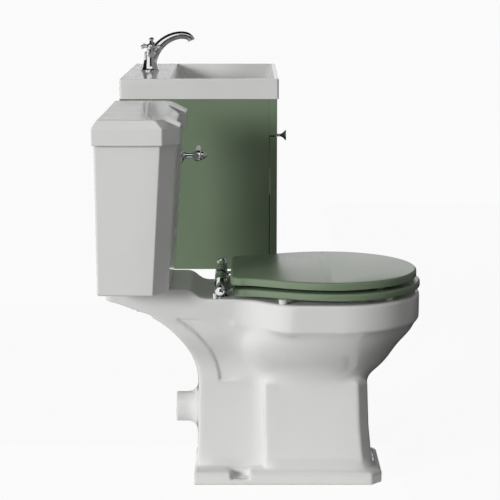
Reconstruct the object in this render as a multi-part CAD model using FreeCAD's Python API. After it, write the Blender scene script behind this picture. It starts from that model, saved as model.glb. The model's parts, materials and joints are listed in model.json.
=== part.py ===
import FreeCAD, Part
import math
import os

V = FreeCAD.Vector
os.makedirs("parts", exist_ok=True)

# Setting out, in mm: floor at Z 0, wall behind at +Y, pan centre plane at X 0.
# The origin lies on the floor, midway between the pan's two floor fixings.
FIXING_FROM_WALL = 299.0
BASIN_OFFSET = 480.0

# Clearances
RUNNING = 0.05
MOVING_GAP = 0.3
REST_GAP = 0.2
HOLE_CLEARANCE = 1.0

# Pan
PAN_PROJECTION = 692.0
RIM_HEIGHT = 416.0
RIM_WIDTH = 362.0
RIM_BAND = 68.0
RIM_CHAMFER = 11.0
RIM_TOP_WIDTH = 40.0
RIM_TOP_THICKNESS = 12.0
RIM_LIP_DEPTH = 32.0
RIM_LIP_THICKNESS = 6.0
RIM_ROUND = 5.0
RIM_REAR = 285.0
BOWL_WIDEST = 500.0
BOWL_REAR = 336.0
BOWL_UNDERSIDE = 206.0
BOWL_NECK_INSET = 4.0
PAN_WALL = 14.0
DECK_WIDTH = 226.0
DECK_THICKNESS = 42.0
SHELF_RISE = 22.0
SHELF_FRONT = 178.0
SHELF_BACK = 12.0
SHELF_EDGE = 26.0
RAMP_LENGTH = 52.0
ARM_WIDTH = 124.0
ARM_REAR = 208.0
ARM_CURVE_START = 112.0
ARM_CURVE_DROP = 150.0
ARM_SPREAD_DROP = 150.0
ACCESS_INNER = 54.0
ACCESS_OUTER = 90.0
ACCESS_HEIGHT = 48.0
ACCESS_DROP = 8.0
PANEL_DEPTH = 5.0
PANEL_MARGIN = 46.0
PEDESTAL_REAR = 352.0
PEDESTAL_FRONT = 577.0
PEDESTAL_WIDTH = 170.0
PEDESTAL_TOP = 222.0
PEDESTAL_FLARE = 15.0
PEDESTAL_CHAMFER = 22.0
PEDESTAL_LEDGE = 19.0
FOOT_WIDTH = 208.0
FOOT_HEIGHT = 28.5
FOOT_BACK = 198.0
FOOT_FRONT = 610.0
FOOT_CHAMFER = 24.0
FOOT_BEVEL = 5.0
SUMP_HEIGHT = 92.0
FIXING_SPACING = 180.0
FIXING_HOLE_R = 4.0
FIXING_LEDGE = 12.0
FIXING_NOTCH_WIDTH = 42.0
FIXING_NOTCH_INSET = 30.0
OUTLET_R = 33.0
OUTLET_WALL = 6.0
OUTLET_HEIGHT = 150.0
OUTLET_FROM_WALL = 158.0
OUTLET_FLARE = 18.0
TRAP_R = 26.0
INLET_FROM_WALL = 80.0
INLET_R = 34.0
FLUSHWAY_R = 15.0

# Cistern
TANK_SEAT_GAP = 3.0
TANK_HEIGHT = 317.0
TANK_BACK = 3.0
TANK_TOP_WIDTH = 456.0
TANK_TOP_DEPTH = 167.0
TANK_BOTTOM_WIDTH = 404.0
TANK_BOTTOM_DEPTH = 147.0
TANK_CHAMFER = 32.0
TANK_WALL = 10.0
TANK_FLOOR = 14.0
TANK_ROUND = 5.0
TANK_SCREW_SPACING = 200.0
TANK_SCREW_DROP = 40.0
TANK_SCREW_R = 4.0
RECESS_WIDTH = 224.0
RECESS_DEPTH = 12.0
RECESS_FROM_BOTTOM = 55.0
RECESS_CORNER = 60.0
LID_BAND = 35.0
LID_BEVEL_HEIGHT = 17.0
LID_BEVEL_INSET = 11.0
LID_FRONT_BEVEL = 36.0
LID_TOP_CHAMFER = 14.0
LID_RECESS_FADE = 0.25
LID_OVERHANG = 12.0
LID_FRONT_OVERHANG = 8.0
LID_STEP_SLOPE = 8.0
LID_TOP_THICKNESS = 20.0
LID_LIP_DEPTH = 8.0
LID_LIP_THICKNESS = 6.0
LID_LIP_CLEARANCE = 3.0
COUPLE_BOLT_SPACING = 150.0
COUPLE_BOLT_R = 4.0
COUPLE_BOLT_LENGTH = 77.0
COUPLE_SPOTFACE_R = 18.0
COUPLE_WASHER_R = 50.0
COUPLE_WASHER_SINK = 14.0
COUPLE_SEAL_R = 13.0
COUPLE_SEAL_HEIGHT = 4.0
COUPLE_HEAD_R = 8.0
COUPLE_HEAD_HEIGHT = 6.0
WING_NUT_R = 13.0
WING_NUT_HEIGHT = 14.0
WING_SPAN = 28.0
WING_THICKNESS = 4.0

# Flushing and filling
VALVE_TAIL_R = 29.0
VALVE_CAGE_R = 40.0
VALVE_CAGE_HEIGHT = 95.0
VALVE_CAGE_WALL = 3.0
VALVE_NUT_R = 36.0
VALVE_NUT_HEIGHT = 10.0
PLUNGER_R = 34.0
PLUNGER_ROD_R = 4.0
PLUNGER_LIFT_PLATE_R = 20.0
PLUNGER_SEAT_HEIGHT = 14.0
LEVER_FROM_SIDE = 78.0
LEVER_BELOW_TANK_TOP = 65.0
LEVER_DROOP = 10.0
LEVER_ROSE_R = 17.0
LEVER_SHAFT_R = 5.0
LEVER_NECK_R = 8.0
LEVER_HUB_R = 13.0
LEVER_REACH = 62.0
LEVER_HUB_START = 30.0
LEVER_HUB_LENGTH = 16.0
LEVER_ROSE_HEIGHT = 8.0
LEVER_NUT_R = 14.0
LEVER_NUT_HEIGHT = 8.0
LEVER_BUSH_WALL = 4.0
LEVER_FERRULE_R = 7.5
LEVER_FORK_LENGTH = 34.0
LEVER_HANDLE_LENGTH = 62.0
LEVER_HANDLE_R = 8.5
LEVER_HANDLE_RISE = 6.0
LEVER_PIN_R = 4.0
LEVER_PIN_GAP = 0.5
FILL_FROM_SIDE = 65.0
FILL_FROM_WALL = 52.0
FILL_TAIL_R = 10.2
FILL_TAIL_LENGTH = 46.0
FILL_NUT_HEIGHT = 9.0
FILL_NUT_R = 17.0
FILL_FLANGE_HEIGHT = 8.0
FILL_TUBE_R = 12.0
FILL_HEIGHT = 200.0
FILL_HEAD_R = 22.0
FLOAT_R = 28.0
FLOAT_HEIGHT = 70.0

# Seat and lid
HINGE_FROM_WALL = 257.0
HINGE_ABOVE_RIM = 30.0
HINGE_BAR_R = 8.0
HINGE_BAR_LENGTH = 300.0
HINGE_BALL_R = 11.5
HINGE_HOLE_SPACING = 156.0
HINGE_STUD_R = 4.0
HINGE_STUD_DROP = 72.0
HINGE_FLANGE_R = 20.0
HINGE_BARREL_R = 13.0
HINGE_PILLAR_R = 9.0
SEAT_PLATE_X = 52.0
LID_PLATE_X = 26.0
HINGE_PLATE_WIDTH = 20.0
HINGE_EYE_PLAY = 1.5
HINGE_PLATE_THICKNESS = 3.5
HINGE_PLATE_LENGTH = 62.0
SEAT_OVER_RIM = 10.0
SEAT_THICKNESS = 16.0
LID_OVER_SEAT = 8.0
SEATLID_THICKNESS = 16.5
SEAT_WIDTH = 372.0
SEAT_FRONT_OVERLAP = 1.0
SEAT_REAR_CLEARANCE = 26.0
SEAT_REAR_WIDTH = 270.0
SEAT_HOLE_WIDTH = 232.0
SEAT_HOLE_FRONT_MARGIN = 62.0
SEAT_HOLE_REAR = 350.0
SEAT_ROUND = 5.0
SEAT_REAR_CORNER = 24.0
SEATLID_FRONT_INSET = 8.0
SEATLID_WIDTH = 376.0
BUFFER_R = 9.0
BUFFER_SIDE_INSET = 20.0
BUFFER_SIDE_BACK = 110.0
BUFFER_FRONT_INSET = 66.0
BUFFER_FRONT_BACK = 75.0
LID_BUFFER_OUTSET = 6.0
LID_BUFFER_BACK = 96.0

# Vanity cabinet
CABINET_INSET = 2.0
CABINET_HEIGHT = 425.0
BOARD = 18.0
FRONT_THICKNESS = 17.5
FALSE_FRONT_HEIGHT = 90.0
FRONT_GAP = 3.0
FRONT_SHADOW = 1.5
FRAME_WIDTH = 55.0
FRAME_RECESS = 6.0
FRAME_BEVEL = 7.0
RAIL_HEIGHT = 90.0
LOW_RAIL_HEIGHT = 70.0
RAIL_THICKNESS = 18.0
WALL_HOLE_SPACING = 400.0
WALL_HOLE_R = 4.0
RUNNER_SIDE = 12.7
RUNNER_HEIGHT = 40.0
RUNNER_LENGTH = 330.0
RUNNER_SKIN = 2.0
RUNNER_FROM_FLOOR = 50.0
DRAWER_BOARD = 12.0
DRAWER_SIDE_HEIGHT = 150.0
DRAWER_OVER_FLOOR = 16.0
DRAWER_BACK_CLEARANCE = 26.0
DRAWER_BASE = 8.0
DRAWER_BASE_RAISE = 10.0
DRAWER_GROOVE = 6.0
KNOB_LENGTH = 28.5
KNOB_R = 14.0
KNOB_NECK_R = 3.6
KNOB_FOOT_R = 7.0
KNOB_SCREW_R = 2.0
KNOB_SCREW_DEPTH = 12.0

# Basin, waste and trap
BASIN_WIDTH = 597.0
BASIN_DEPTH = 391.5
BASIN_TOP = 842.0
BASIN_EDGE = 49.5
BASIN_OVERHANG = 4.0
BASIN_CORNER = 6.0
BASIN_RIM = 11.0
BASIN_LEDGE = 117.0
BASIN_SHELL = 12.0
BOWL_DEPTH = 104.0
BOWL_SIDE_SLOPE = 62.0
BOWL_BACK_SLOPE = 58.0
BOWL_FRONT_CLEARANCE = 1.5
BOWL_CORNER = 8.0
WASTE_R = 20.0
WASTE_FLANGE_R = 32.0
WASTE_LENGTH = 78.0
WASTE_FLANGE_HEIGHT = 2.5
WASTE_NUT_HEIGHT = 12.0
WASTE_BRIDGE_DROP = 30.0
WASTE_BRIDGE_HEIGHT = 5.0
PLUG_R = 30.0
PLUG_STEM_R = 4.0
BOTTLE_R = 31.0
BOTTLE_HEIGHT = 116.0
BOTTLE_WALL = 3.0
BOTTLE_NUT_HEIGHT = 24.0
BOTTLE_OUTLET_DROP = 50.0
TRAP_PIPE_R = 18.0
TRAP_PIPE_WALL = 2.0
TRAP_BOSS_LENGTH = 22.0
TRAP_BOSS_WALL = 5.0
TRAP_SOCKET_STEP = 4.0
TRAP_FROM_WALL = 2.0

# Tap
TAP_FROM_WALL = 58.0
TAP_HOLE_R = 17.0
TAP_BASE_R = 24.0
TAP_SHANK_R = 15.5
TAP_SHANK_DROP = 55.0
TAP_INLET_SPACING = 13.0
TAP_INLET_R = 4.2
TAP_INLET_DEPTH = 20.0
TAP_BODY_HEIGHT = 46.0
TAP_BODY_TOP_R = 15.5
SPOUT_REACH = 108.0
SPOUT_RISE = 95.0
SPOUT_TIP_R = 9.2
BONNET_R = 10.5
BONNET_LENGTH = 34.0
BONNET_TILT = 34.0
HANDLE_ARM = 25.0
HANDLE_ARM_R = 3.2
HANDLE_BUD_R = 5.4
HANDLE_HUB_R = 9.0
HANDLE_HUB_LENGTH = 16.0
SPINDLE_R = 5.0
SPINDLE_LENGTH = 8.0

# Levels and places that follow from the sizes above
SHELF_HEIGHT = RIM_HEIGHT + SHELF_RISE
DECK_UNDER = RIM_HEIGHT - DECK_THICKNESS
TANK_BOTTOM = SHELF_HEIGHT + TANK_SEAT_GAP
TANK_TOP = TANK_BOTTOM + TANK_HEIGHT
TANK_FLOOR_TOP = TANK_BOTTOM + TANK_FLOOR
TANK_FRONT_WALL = TANK_WALL + RECESS_DEPTH
LID_BOTTOM = TANK_TOP + REST_GAP
LEVER_X = TANK_TOP_WIDTH / 2 - LEVER_FROM_SIDE
LEVER_Z = TANK_TOP - LEVER_BELOW_TANK_TOP
FILL_X = (TANK_TOP_WIDTH + TANK_BOTTOM_WIDTH) / 4 - FILL_FROM_SIDE
HINGE_Z = RIM_HEIGHT + HINGE_ABOVE_RIM
SEAT_BOTTOM = RIM_HEIGHT + SEAT_OVER_RIM
SEAT_TOP = SEAT_BOTTOM + SEAT_THICKNESS
SEATLID_BOTTOM = SEAT_TOP + LID_OVER_SEAT
SEATLID_TOP = SEATLID_BOTTOM + SEATLID_THICKNESS
SEAT_REAR = HINGE_FROM_WALL + SEAT_REAR_CLEARANCE
CABINET_TOP = BASIN_TOP - BASIN_EDGE
CABINET_DEPTH = BASIN_DEPTH - BASIN_OVERHANG - FRONT_THICKNESS - FRONT_SHADOW
CABINET_BOTTOM = CABINET_TOP - CABINET_HEIGHT
CABINET_X0 = BASIN_OFFSET + CABINET_INSET
CABINET_X1 = BASIN_OFFSET + BASIN_WIDTH - CABINET_INSET
VANITY_X = BASIN_OFFSET + BASIN_WIDTH / 2
FALSE_FRONT_BOTTOM = CABINET_TOP - FALSE_FRONT_HEIGHT
DRAWER_FRONT_TOP = FALSE_FRONT_BOTTOM - FRONT_GAP
DRAWER_BACK_FACE = CABINET_DEPTH + FRONT_SHADOW
KNOB_Z = DRAWER_FRONT_TOP - FRAME_WIDTH / 2
KNOB_FROM_WALL = DRAWER_BACK_FACE + FRONT_THICKNESS
BOWL_FLOOR = BASIN_TOP - BOWL_DEPTH
BOWL_UNDER = BOWL_FLOOR - BASIN_SHELL
BOWL_FRONT_SHARE = (CABINET_TOP - BOWL_UNDER) / (BASIN_TOP - BOWL_UNDER)
BOWL_FRONT_RIM = BASIN_DEPTH - BASIN_RIM
BOWL_FRONT_OUTSIDE = ((CABINET_DEPTH - BOWL_FRONT_CLEARANCE - BOWL_FRONT_SHARE * BOWL_FRONT_RIM)
                      / (1 - BOWL_FRONT_SHARE))
WASTE_FROM_WALL = (BASIN_LEDGE + BOWL_BACK_SLOPE + BOWL_FRONT_OUTSIDE - BASIN_SHELL) / 2
WASTE_BOTTOM = BOWL_FLOOR - WASTE_LENGTH
OVAL_POINTS = 16

# Outside of the bowl: share of its depth, tuck of the front, slimming of the sides, back edge, its power
BOWL_CURVE = ((0.0, 0.0, 0.0, -48.0, 0.8), (0.25, 0.21, 0.25, -54.0, 0.68), (0.52, 0.47, 0.6, -34.0, 0.62),
              (0.72, 0.69, 0.84, -14.0, 0.62), (0.87, 0.9, 0.95, 0.0, 0.62), (1.0, 1.0, 1.0, 5.0, 0.62))
BOWL_CURVE_DRIFT = 40.0

# Inside of the bowl: tuck of the front, inset, back edge, change in half width, drift, share of its depth
BOWL_INSIDE_CURVE = ((0.0, 0.0, -20.0, 0.0, 0.0, 0.0), (0.21, 0.0, -12.0, 48.0, 10.0, 0.25),
                     (0.5, 0.0, 0.0, 6.0, 22.0, 0.52), (1.0, 8.0, 18.0, -34.0, 34.0, 0.8))

# Sump under it: inset of the front, back edge, change in half width, drift, height
SUMP_CURVE = ((70.0, 50.0, -38.0, 60.0, 60.0), (112.0, 70.0, -50.0, 66.0, 0.0))

# Spout: share of its reach, share of its rise, radius, pitch in degrees
SPOUT_CURVE = ((0.03, 0.2, 13.5, 80.0), (0.13, 0.52, 13.0, 62.0), (0.33, 0.79, 12.0, 40.0),
               (0.62, 0.955, 10.6, 14.0), (0.82, 0.975, 10.0, -6.0), (0.95, 0.93, 9.6, -34.0))
SPOUT_TIP_RISE = 0.86
SPOUT_TIP_PITCH = -66.0


def pt(x, f, z):
    """Point at x across, f out from the wall and z above the floor."""
    return V(x, FIXING_FROM_WALL - f, z)


def positive(shape):
    """The same solid, turned outside out where its skin came out reversed."""
    if shape.Volume < 0:
        shape.reverse()
    return shape


def box(x0, x1, f0, f1, z0, z1):
    return Part.makeBox(x1 - x0, f1 - f0, z1 - z0, pt(x0, f1, z0))


def rod(start, end, radius):
    axis = end.sub(start)
    return Part.makeCylinder(radius, axis.Length, start, axis)


def post(x, f, z0, z1, radius):
    return rod(pt(x, f, z0), pt(x, f, z1), radius)


def reach(x, z, f0, f1, radius):
    """Round bar that runs straight out from the wall."""
    return rod(pt(x, f0, z), pt(x, f1, z), radius)


def crossbar(f, z, x0, x1, radius):
    """Round bar that runs along the wall."""
    return rod(pt(x0, f, z), pt(x1, f, z), radius)


def fuse(first, *others):
    return first.fuse(list(others)).removeSplitter()


def polygon(points):
    return Part.makePolygon(list(points) + [points[0]])


def plan_wire(outline, z):
    """Closed wire at height z from points (x, f)."""
    return polygon([pt(x, f, z) for x, f in outline])


def plan_prism(outline, z0, z1):
    return positive(Part.Face(plan_wire(outline, z0)).extrude(V(0, 0, z1 - z0)))


def side_prism(profile, x0, x1):
    """Profile of points (f, z) run across from x0 to x1."""
    wire = polygon([pt(x0, f, z) for f, z in profile])
    return positive(Part.Face(wire).extrude(V(x1 - x0, 0, 0)))


def run_edges(edges, direction):
    """Face inside a chain of edges, run along a direction."""
    wire = Part.Wire(Part.__sortEdges__(edges))
    return positive(Part.Face(wire).extrude(direction))


def line(start, end):
    return Part.LineSegment(start, end).toShape()


def arc(start, through, end):
    return Part.Arc(start, through, end).toShape()


def bezier(*poles):
    curve = Part.BezierCurve()
    curve.setPoles(list(poles))
    return curve.toShape()


def turned(profile, base, axis):
    """Points (radius, height) turned about the axis that starts at base."""
    face = Part.Face(polygon([V(r, 0, h) for r, h in profile]))
    solid = positive(face.revolve(V(0, 0, 0), V(0, 0, 1), 360))
    solid.Placement = FreeCAD.Placement(base, FreeCAD.Rotation(V(0, 0, 1), axis))
    return solid


def upright_turn(profile, x, f):
    """Points (radius, height) turned about an upright axis."""
    return turned(profile, pt(x, f, 0), V(0, 0, 1))


def hexagon(x, f, z0, z1, radius):
    corners = []
    for step in range(6):
        turn = math.radians(60 * step)
        corners.append((x + radius * math.cos(turn), f + radius * math.sin(turn)))
    return plan_prism(corners, z0, z1)


def ring(x, f, z0, z1, outer, inner):
    return post(x, f, z0, z1, outer).cut(post(x, f, z0 - 1, z1 + 1, inner))


def inset_outline(outline, distance):
    """Anticlockwise outline moved inwards by one distance, with sharp corners."""
    moved = []
    count = len(outline)
    for index in range(count):
        x, f = outline[index]
        back = (x - outline[index - 1][0], f - outline[index - 1][1])
        ahead = (outline[(index + 1) % count][0] - x, outline[(index + 1) % count][1] - f)
        back_length = math.hypot(*back)
        ahead_length = math.hypot(*ahead)
        n0 = (-back[1] / back_length, back[0] / back_length)
        n1 = (-ahead[1] / ahead_length, ahead[0] / ahead_length)
        scale = distance / (1 + n0[0] * n1[0] + n0[1] * n1[1])
        moved.append((x + scale * (n0[0] + n1[0]), f + scale * (n0[1] + n1[1])))
    return moved


def edges_at(shape, test):
    """Edges whose every end and middle point passes the test."""
    chosen = []
    for edge in shape.Edges:
        middle = edge.valueAt((edge.FirstParameter + edge.LastParameter) / 2)
        points = [vertex.Point for vertex in edge.Vertexes] + [middle]
        if all(test(point) for point in points):
            chosen.append(edge)
    return chosen


def at_height(z):
    return lambda point: abs(point.z - z) < 0.01


def upright(shape):
    """Edges that run up rather than across."""
    chosen = []
    for edge in shape.Edges:
        ends = [vertex.Point for vertex in edge.Vertexes]
        if len(ends) == 2 and abs(ends[0].z - ends[1].z) > 0.9 * edge.Length:
            chosen.append(edge)
    return chosen


def save(name, *solids):
    shape = solids[0] if len(solids) == 1 else Part.makeCompound(list(solids))
    shape.exportStep("parts/" + name + ".step")


# Pan

def oval(front, rear, half_width, widest, z, rear_power=1.0):
    """Egg-shaped section: a half ellipse ahead of its widest line, a squarer half behind at lower powers."""
    points = []
    for step in range(OVAL_POINTS):
        turn = 2 * math.pi * step / OVAL_POINTS
        power = 1.0 if math.cos(turn) > -0.01 else rear_power
        reach = front - widest if math.cos(turn) > 0 else rear - widest
        across = math.copysign(abs(math.sin(turn)) ** power, math.sin(turn))
        points.append(pt(half_width * across, widest + reach * abs(math.cos(turn)) ** power, z))
    curve = Part.BSplineCurve()
    curve.interpolate(Points=points, PeriodicFlag=True)
    return Part.Wire([curve.toShape()])


def rim_inset_oval(inset, z):
    front = PAN_PROJECTION - inset
    rear = BOWL_REAR - RIM_TOP_WIDTH + inset
    return oval(front, rear, RIM_WIDTH / 2 - inset, BOWL_WIDEST, z)


def oval_prism(inset, z0, z1):
    return positive(Part.Face(rim_inset_oval(inset, z0)).extrude(V(0, 0, z1 - z0)))


def rim_block():
    """Band round the bowl: half round in front, drawn in to the deck behind."""
    z = RIM_HEIGHT - RIM_BAND
    half = RIM_WIDTH / 2
    deck = DECK_WIDTH / 2
    centre = PAN_PROJECTION - half
    neck = centre - half / 2
    pull = (neck - RIM_REAR) / 2
    edges = [arc(pt(-half, centre, z), pt(0, PAN_PROJECTION, z), pt(half, centre, z)),
             line(pt(-deck, RIM_REAR, z), pt(deck, RIM_REAR, z))]
    for side in (-1, 1):
        wide = side * half
        narrow = side * deck
        edges.append(line(pt(wide, centre, z), pt(wide, neck, z)))
        edges.append(bezier(pt(wide, neck, z), pt(wide, neck - pull, z),
                            pt(narrow, RIM_REAR + pull, z), pt(narrow, RIM_REAR, z)))
    band = run_edges(edges, V(0, 0, RIM_BAND))
    rear = pt(0, RIM_REAR + 1, 0).y
    round_front = [edge for edge in edges_at(band, at_height(RIM_HEIGHT)) if edge.CenterOfMass.y < rear]
    band = band.makeFillet(RIM_ROUND, round_front)
    low_front = [edge for edge in edges_at(band, at_height(z)) if edge.CenterOfMass.y < rear]
    return band.makeChamfer(RIM_CHAMFER, low_front)


def bowl_shell():
    """Outside of the bowl, from under the rim down into the pedestal."""
    top = RIM_HEIGHT - RIM_BAND
    drop = top - BOWL_UNDERSIDE
    half = RIM_WIDTH / 2 - RIM_CHAMFER
    front = PAN_PROJECTION - RIM_CHAMFER
    knee = PEDESTAL_FRONT - BOWL_NECK_INSET
    waist = PEDESTAL_WIDTH / 2 - BOWL_NECK_INSET
    sections = []
    for share, tuck, slim, rear, power in BOWL_CURVE:
        nose = front - tuck * (front - knee)
        width = half - slim * (half - waist)
        widest = BOWL_WIDEST - BOWL_CURVE_DRIFT * share
        sections.append(oval(nose, BOWL_REAR + rear, width, widest, top - share * drop, power))
    return positive(Part.makeLoft(sections, True, False))


def bowl_hollow(grow=0.0):
    """Inside of the bowl, from under the rim's top plate down to the sump; grow adds its wall."""
    top = RIM_HEIGHT - RIM_TOP_THICKNESS
    band = RIM_HEIGHT - RIM_BAND
    half = RIM_WIDTH / 2 + grow
    waist = PEDESTAL_WIDTH / 2 + grow
    sump = SUMP_HEIGHT - grow
    drop = band - BOWL_UNDERSIDE
    front = PAN_PROJECTION - RIM_CHAMFER - PAN_WALL + grow
    knee = PEDESTAL_FRONT + grow
    tuck = front - knee
    back = BOWL_REAR - grow
    sections = [rim_inset_oval(PAN_WALL - grow, top)]
    for tucked, inset, rear, widen, drift, share in BOWL_INSIDE_CURVE:
        width = waist + widen if share else half - RIM_CHAMFER - PAN_WALL
        sections.append(oval(front - tucked * tuck - inset, back + rear, width, BOWL_WIDEST - drift,
                             band - share * drop))
    for inset, rear, widen, drift, rise in SUMP_CURVE:
        sections.append(oval(knee - inset, back + rear, waist + widen, BOWL_WIDEST - drift, sump + rise))
    return positive(Part.makeLoft(sections, True, False))


def shelf_block():
    """Deck behind the bowl that steps up to the shelf the cistern stands on."""
    x0 = -DECK_WIDTH / 2
    z = SHELF_HEIGHT
    ramp_end = SHELF_FRONT + RAMP_LENGTH
    middle = SHELF_FRONT + RAMP_LENGTH / 2
    deck_end = RIM_REAR + 60
    low_back = z - SHELF_EDGE
    corners = [pt(x0, ramp_end, RIM_HEIGHT), pt(x0, deck_end, RIM_HEIGHT), pt(x0, deck_end, DECK_UNDER),
               pt(x0, ARM_CURVE_START + PAN_WALL, DECK_UNDER), pt(x0, SHELF_BACK + 20, low_back - 4),
               pt(x0, SHELF_BACK, low_back), pt(x0, SHELF_BACK, z), pt(x0, SHELF_FRONT, z)]
    edges = [line(corners[i], corners[i + 1]) for i in range(len(corners) - 1)]
    edges.append(bezier(corners[-1], pt(x0, middle, z), pt(x0, middle, RIM_HEIGHT), corners[0]))
    block = run_edges(edges, V(DECK_WIDTH, 0, 0))
    back_corners = [edge for edge in upright(block) if edge.CenterOfMass.y > pt(0, SHELF_BACK + 1, 0).y]
    return block.makeFillet(SHELF_EDGE / 2, back_corners)


def arm_curve(inset, x):
    """Rear outline of the arm that carries the shelf, as one sweeping arc."""
    high = pt(x, ARM_CURVE_START + inset, DECK_UNDER)
    low = pt(x, ARM_REAR + inset, DECK_UNDER - ARM_CURVE_DROP)
    radius = ARM_CURVE_DROP
    centre = pt(x, ARM_REAR + inset - radius, DECK_UNDER - ARM_CURVE_DROP)
    diagonal = math.radians(38)
    through = centre.add(V(0, -radius * math.cos(diagonal), radius * math.sin(diagonal)))
    return arc(high, through, low), high, low


def arm_section(inset, z0, f0, f1):
    """Block along the arm whose sides spread smoothly from the column up to the deck."""
    narrow = ARM_WIDTH / 2 - inset
    wide = DECK_WIDTH / 2 - inset
    start = DECK_UNDER - ARM_SPREAD_DROP
    middle = DECK_UNDER - ARM_SPREAD_DROP / 2
    top = RIM_HEIGHT - DECK_THICKNESS / 2
    edges = [line(pt(-narrow, f0, z0), pt(narrow, f0, z0)), line(pt(-wide, f0, top), pt(wide, f0, top))]
    for side in (-1, 1):
        foot = pt(side * narrow, f0, start)
        shoulder = pt(side * wide, f0, DECK_UNDER)
        edges.append(line(pt(side * narrow, f0, z0), foot))
        edges.append(bezier(foot, pt(side * narrow, f0, middle), pt(side * wide, f0, middle), shoulder))
        edges.append(line(shoulder, pt(side * wide, f0, top)))
    return run_edges(edges, V(0, f0 - f1, 0))


def curved_back(inset, corners):
    """Block as wide as the deck: its back is the arm's curve, and the corners lead from foot to top."""
    x0 = -DECK_WIDTH / 2
    curve, high, low = arm_curve(inset, x0)
    points = [low] + [pt(x0, f, z) for f, z in corners] + [high]
    edges = [line(points[i], points[i + 1]) for i in range(len(points) - 1)] + [curve]
    return run_edges(edges, V(DECK_WIDTH, 0, 0))


def arm_block():
    """Trapway column and arm between the foot, the bowl and the shelf."""
    ahead = PEDESTAL_REAR + 40
    floor = FOOT_HEIGHT - 1
    top = RIM_HEIGHT - DECK_THICKNESS / 2
    ankle = (ARM_REAR - 2, OUTLET_HEIGHT - OUTLET_R - 25)
    side_view = curved_back(0, [ankle, (FOOT_BACK + FOOT_BEVEL, floor), (ahead, floor), (ahead, top),
                                (ARM_CURVE_START, top)])
    block = arm_section(0, floor, ARM_CURVE_START - 1, ahead + 1).common(side_view)
    rear = [edge for edge in block.Edges if edge.CenterOfMass.y > pt(0, ARM_REAR + 20, 0).y
            and abs(abs(edge.CenterOfMass.x) - ARM_WIDTH / 2) < 0.01 and edge.CenterOfMass.z < DECK_UNDER - 1]
    return block.makeFillet(8, rear)


def arm_panels():
    """Sunk panels in the arm's two sides, following the arm's curve."""
    ahead = PEDESTAL_REAR + 20
    across = curved_back(PANEL_MARGIN, [(ahead, DECK_UNDER - ARM_CURVE_DROP), (ahead, DECK_UNDER)])
    return across.cut(arm_section(PANEL_DEPTH, FOOT_HEIGHT, ARM_CURVE_START, ahead + 1))


def chamfered_plan(half, rear, front, chamfer):
    """Plan of a block whose two front corners are cut off."""
    return [(-half, rear), (half, rear), (half, front - chamfer), (half - chamfer, front),
            (chamfer - half, front), (-half, front - chamfer)]


def stacked(levels):
    """Flat-sided solid through outlines at rising heights."""
    wires = [plan_wire(outline, z) for outline, z in levels]
    return positive(Part.makeLoft(wires, True, True))


def pedestal_block():
    half = PEDESTAL_WIDTH / 2
    ledge_top = PEDESTAL_TOP + PEDESTAL_LEDGE
    levels = []
    for share in (0.0, 0.2, 0.5, 1.0):
        flare = PEDESTAL_FLARE * (1 - share) ** 2
        outline = chamfered_plan(half + flare / 8, PEDESTAL_REAR + flare / 4, PEDESTAL_FRONT + flare,
                                 PEDESTAL_CHAMFER)
        levels.append((outline, FOOT_HEIGHT - 1 + share * (PEDESTAL_TOP - FOOT_HEIGHT + 1)))
    levels.append((inset_outline(levels[-1][0], PEDESTAL_LEDGE), ledge_top))
    return stacked(levels)


def foot_block():
    outline = chamfered_plan(FOOT_WIDTH / 2, FOOT_BACK, FOOT_FRONT, FOOT_CHAMFER)
    bevel = inset_outline(outline, FOOT_BEVEL)
    return stacked([(outline, 0), (outline, FOOT_HEIGHT - FOOT_BEVEL), (bevel, FOOT_HEIGHT)])


def passage(points, radius):
    """Round passage along straight legs with ball joints."""
    legs = []
    for start, end in zip(points, points[1:]):
        legs.append(rod(start, end, radius))
        legs.append(Part.makeSphere(radius, end))
    return legs[0].fuse(legs[1:])


def trapway(grow=0.0):
    """Water passage from the sump up over the weir and out through the spigot."""
    sump = SUMP_HEIGHT + TRAP_R
    weir = BOWL_UNDERSIDE + 14
    route = [pt(0, BOWL_WIDEST - 60, sump), pt(0, PEDESTAL_REAR + 20, sump + 8),
             pt(0, PEDESTAL_REAR - 54, weir), pt(0, ARM_REAR + 50, weir - 14),
             pt(0, ARM_REAR + 8, OUTLET_HEIGHT), pt(0, OUTLET_FROM_WALL - 40, OUTLET_HEIGHT)]
    return passage(route, TRAP_R + grow)


def flushway():
    """Passage from the shelf's inlet through the deck into the back of the rim."""
    level = RIM_HEIGHT - DECK_THICKNESS / 2 - 2
    return passage([pt(0, INLET_FROM_WALL, SHELF_HEIGHT - SHELF_RISE), pt(0, INLET_FROM_WALL + 74, level),
                    pt(0, BOWL_REAR + 2, level)], FLUSHWAY_R)


def base_hollow():
    """Space open at the floor, inside the arm and pedestal and outside the bowl and trapway."""
    ahead = PEDESTAL_REAR + 2 * PAN_WALL
    inner = arm_section(PANEL_DEPTH + PAN_WALL, -1, ARM_CURVE_START, ahead + 1)
    arm = inner.common(curved_back(PAN_WALL, [(ARM_REAR + PAN_WALL, -1), (ahead, -1), (ahead, DECK_UNDER)]))
    plan = chamfered_plan(PEDESTAL_WIDTH / 2 - PAN_WALL, PEDESTAL_REAR + PAN_WALL, PEDESTAL_FRONT - PAN_WALL,
                          PEDESTAL_CHAMFER)
    pedestal = plan_prism(plan, -1, PEDESTAL_TOP - PAN_WALL)
    return arm.fuse(pedestal).cut([bowl_hollow(PAN_WALL), trapway(PAN_WALL)])


def access_hole(side):
    """Opening in the arm's back through which the seat's fixings are reached."""
    inner = side * ACCESS_INNER
    outer = side * ACCESS_OUTER
    return box(min(inner, outer), max(inner, outer), ARM_CURVE_START - 1, ARM_REAR + PAN_WALL,
               DECK_UNDER - ACCESS_HEIGHT, DECK_UNDER - ACCESS_DROP)


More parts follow.
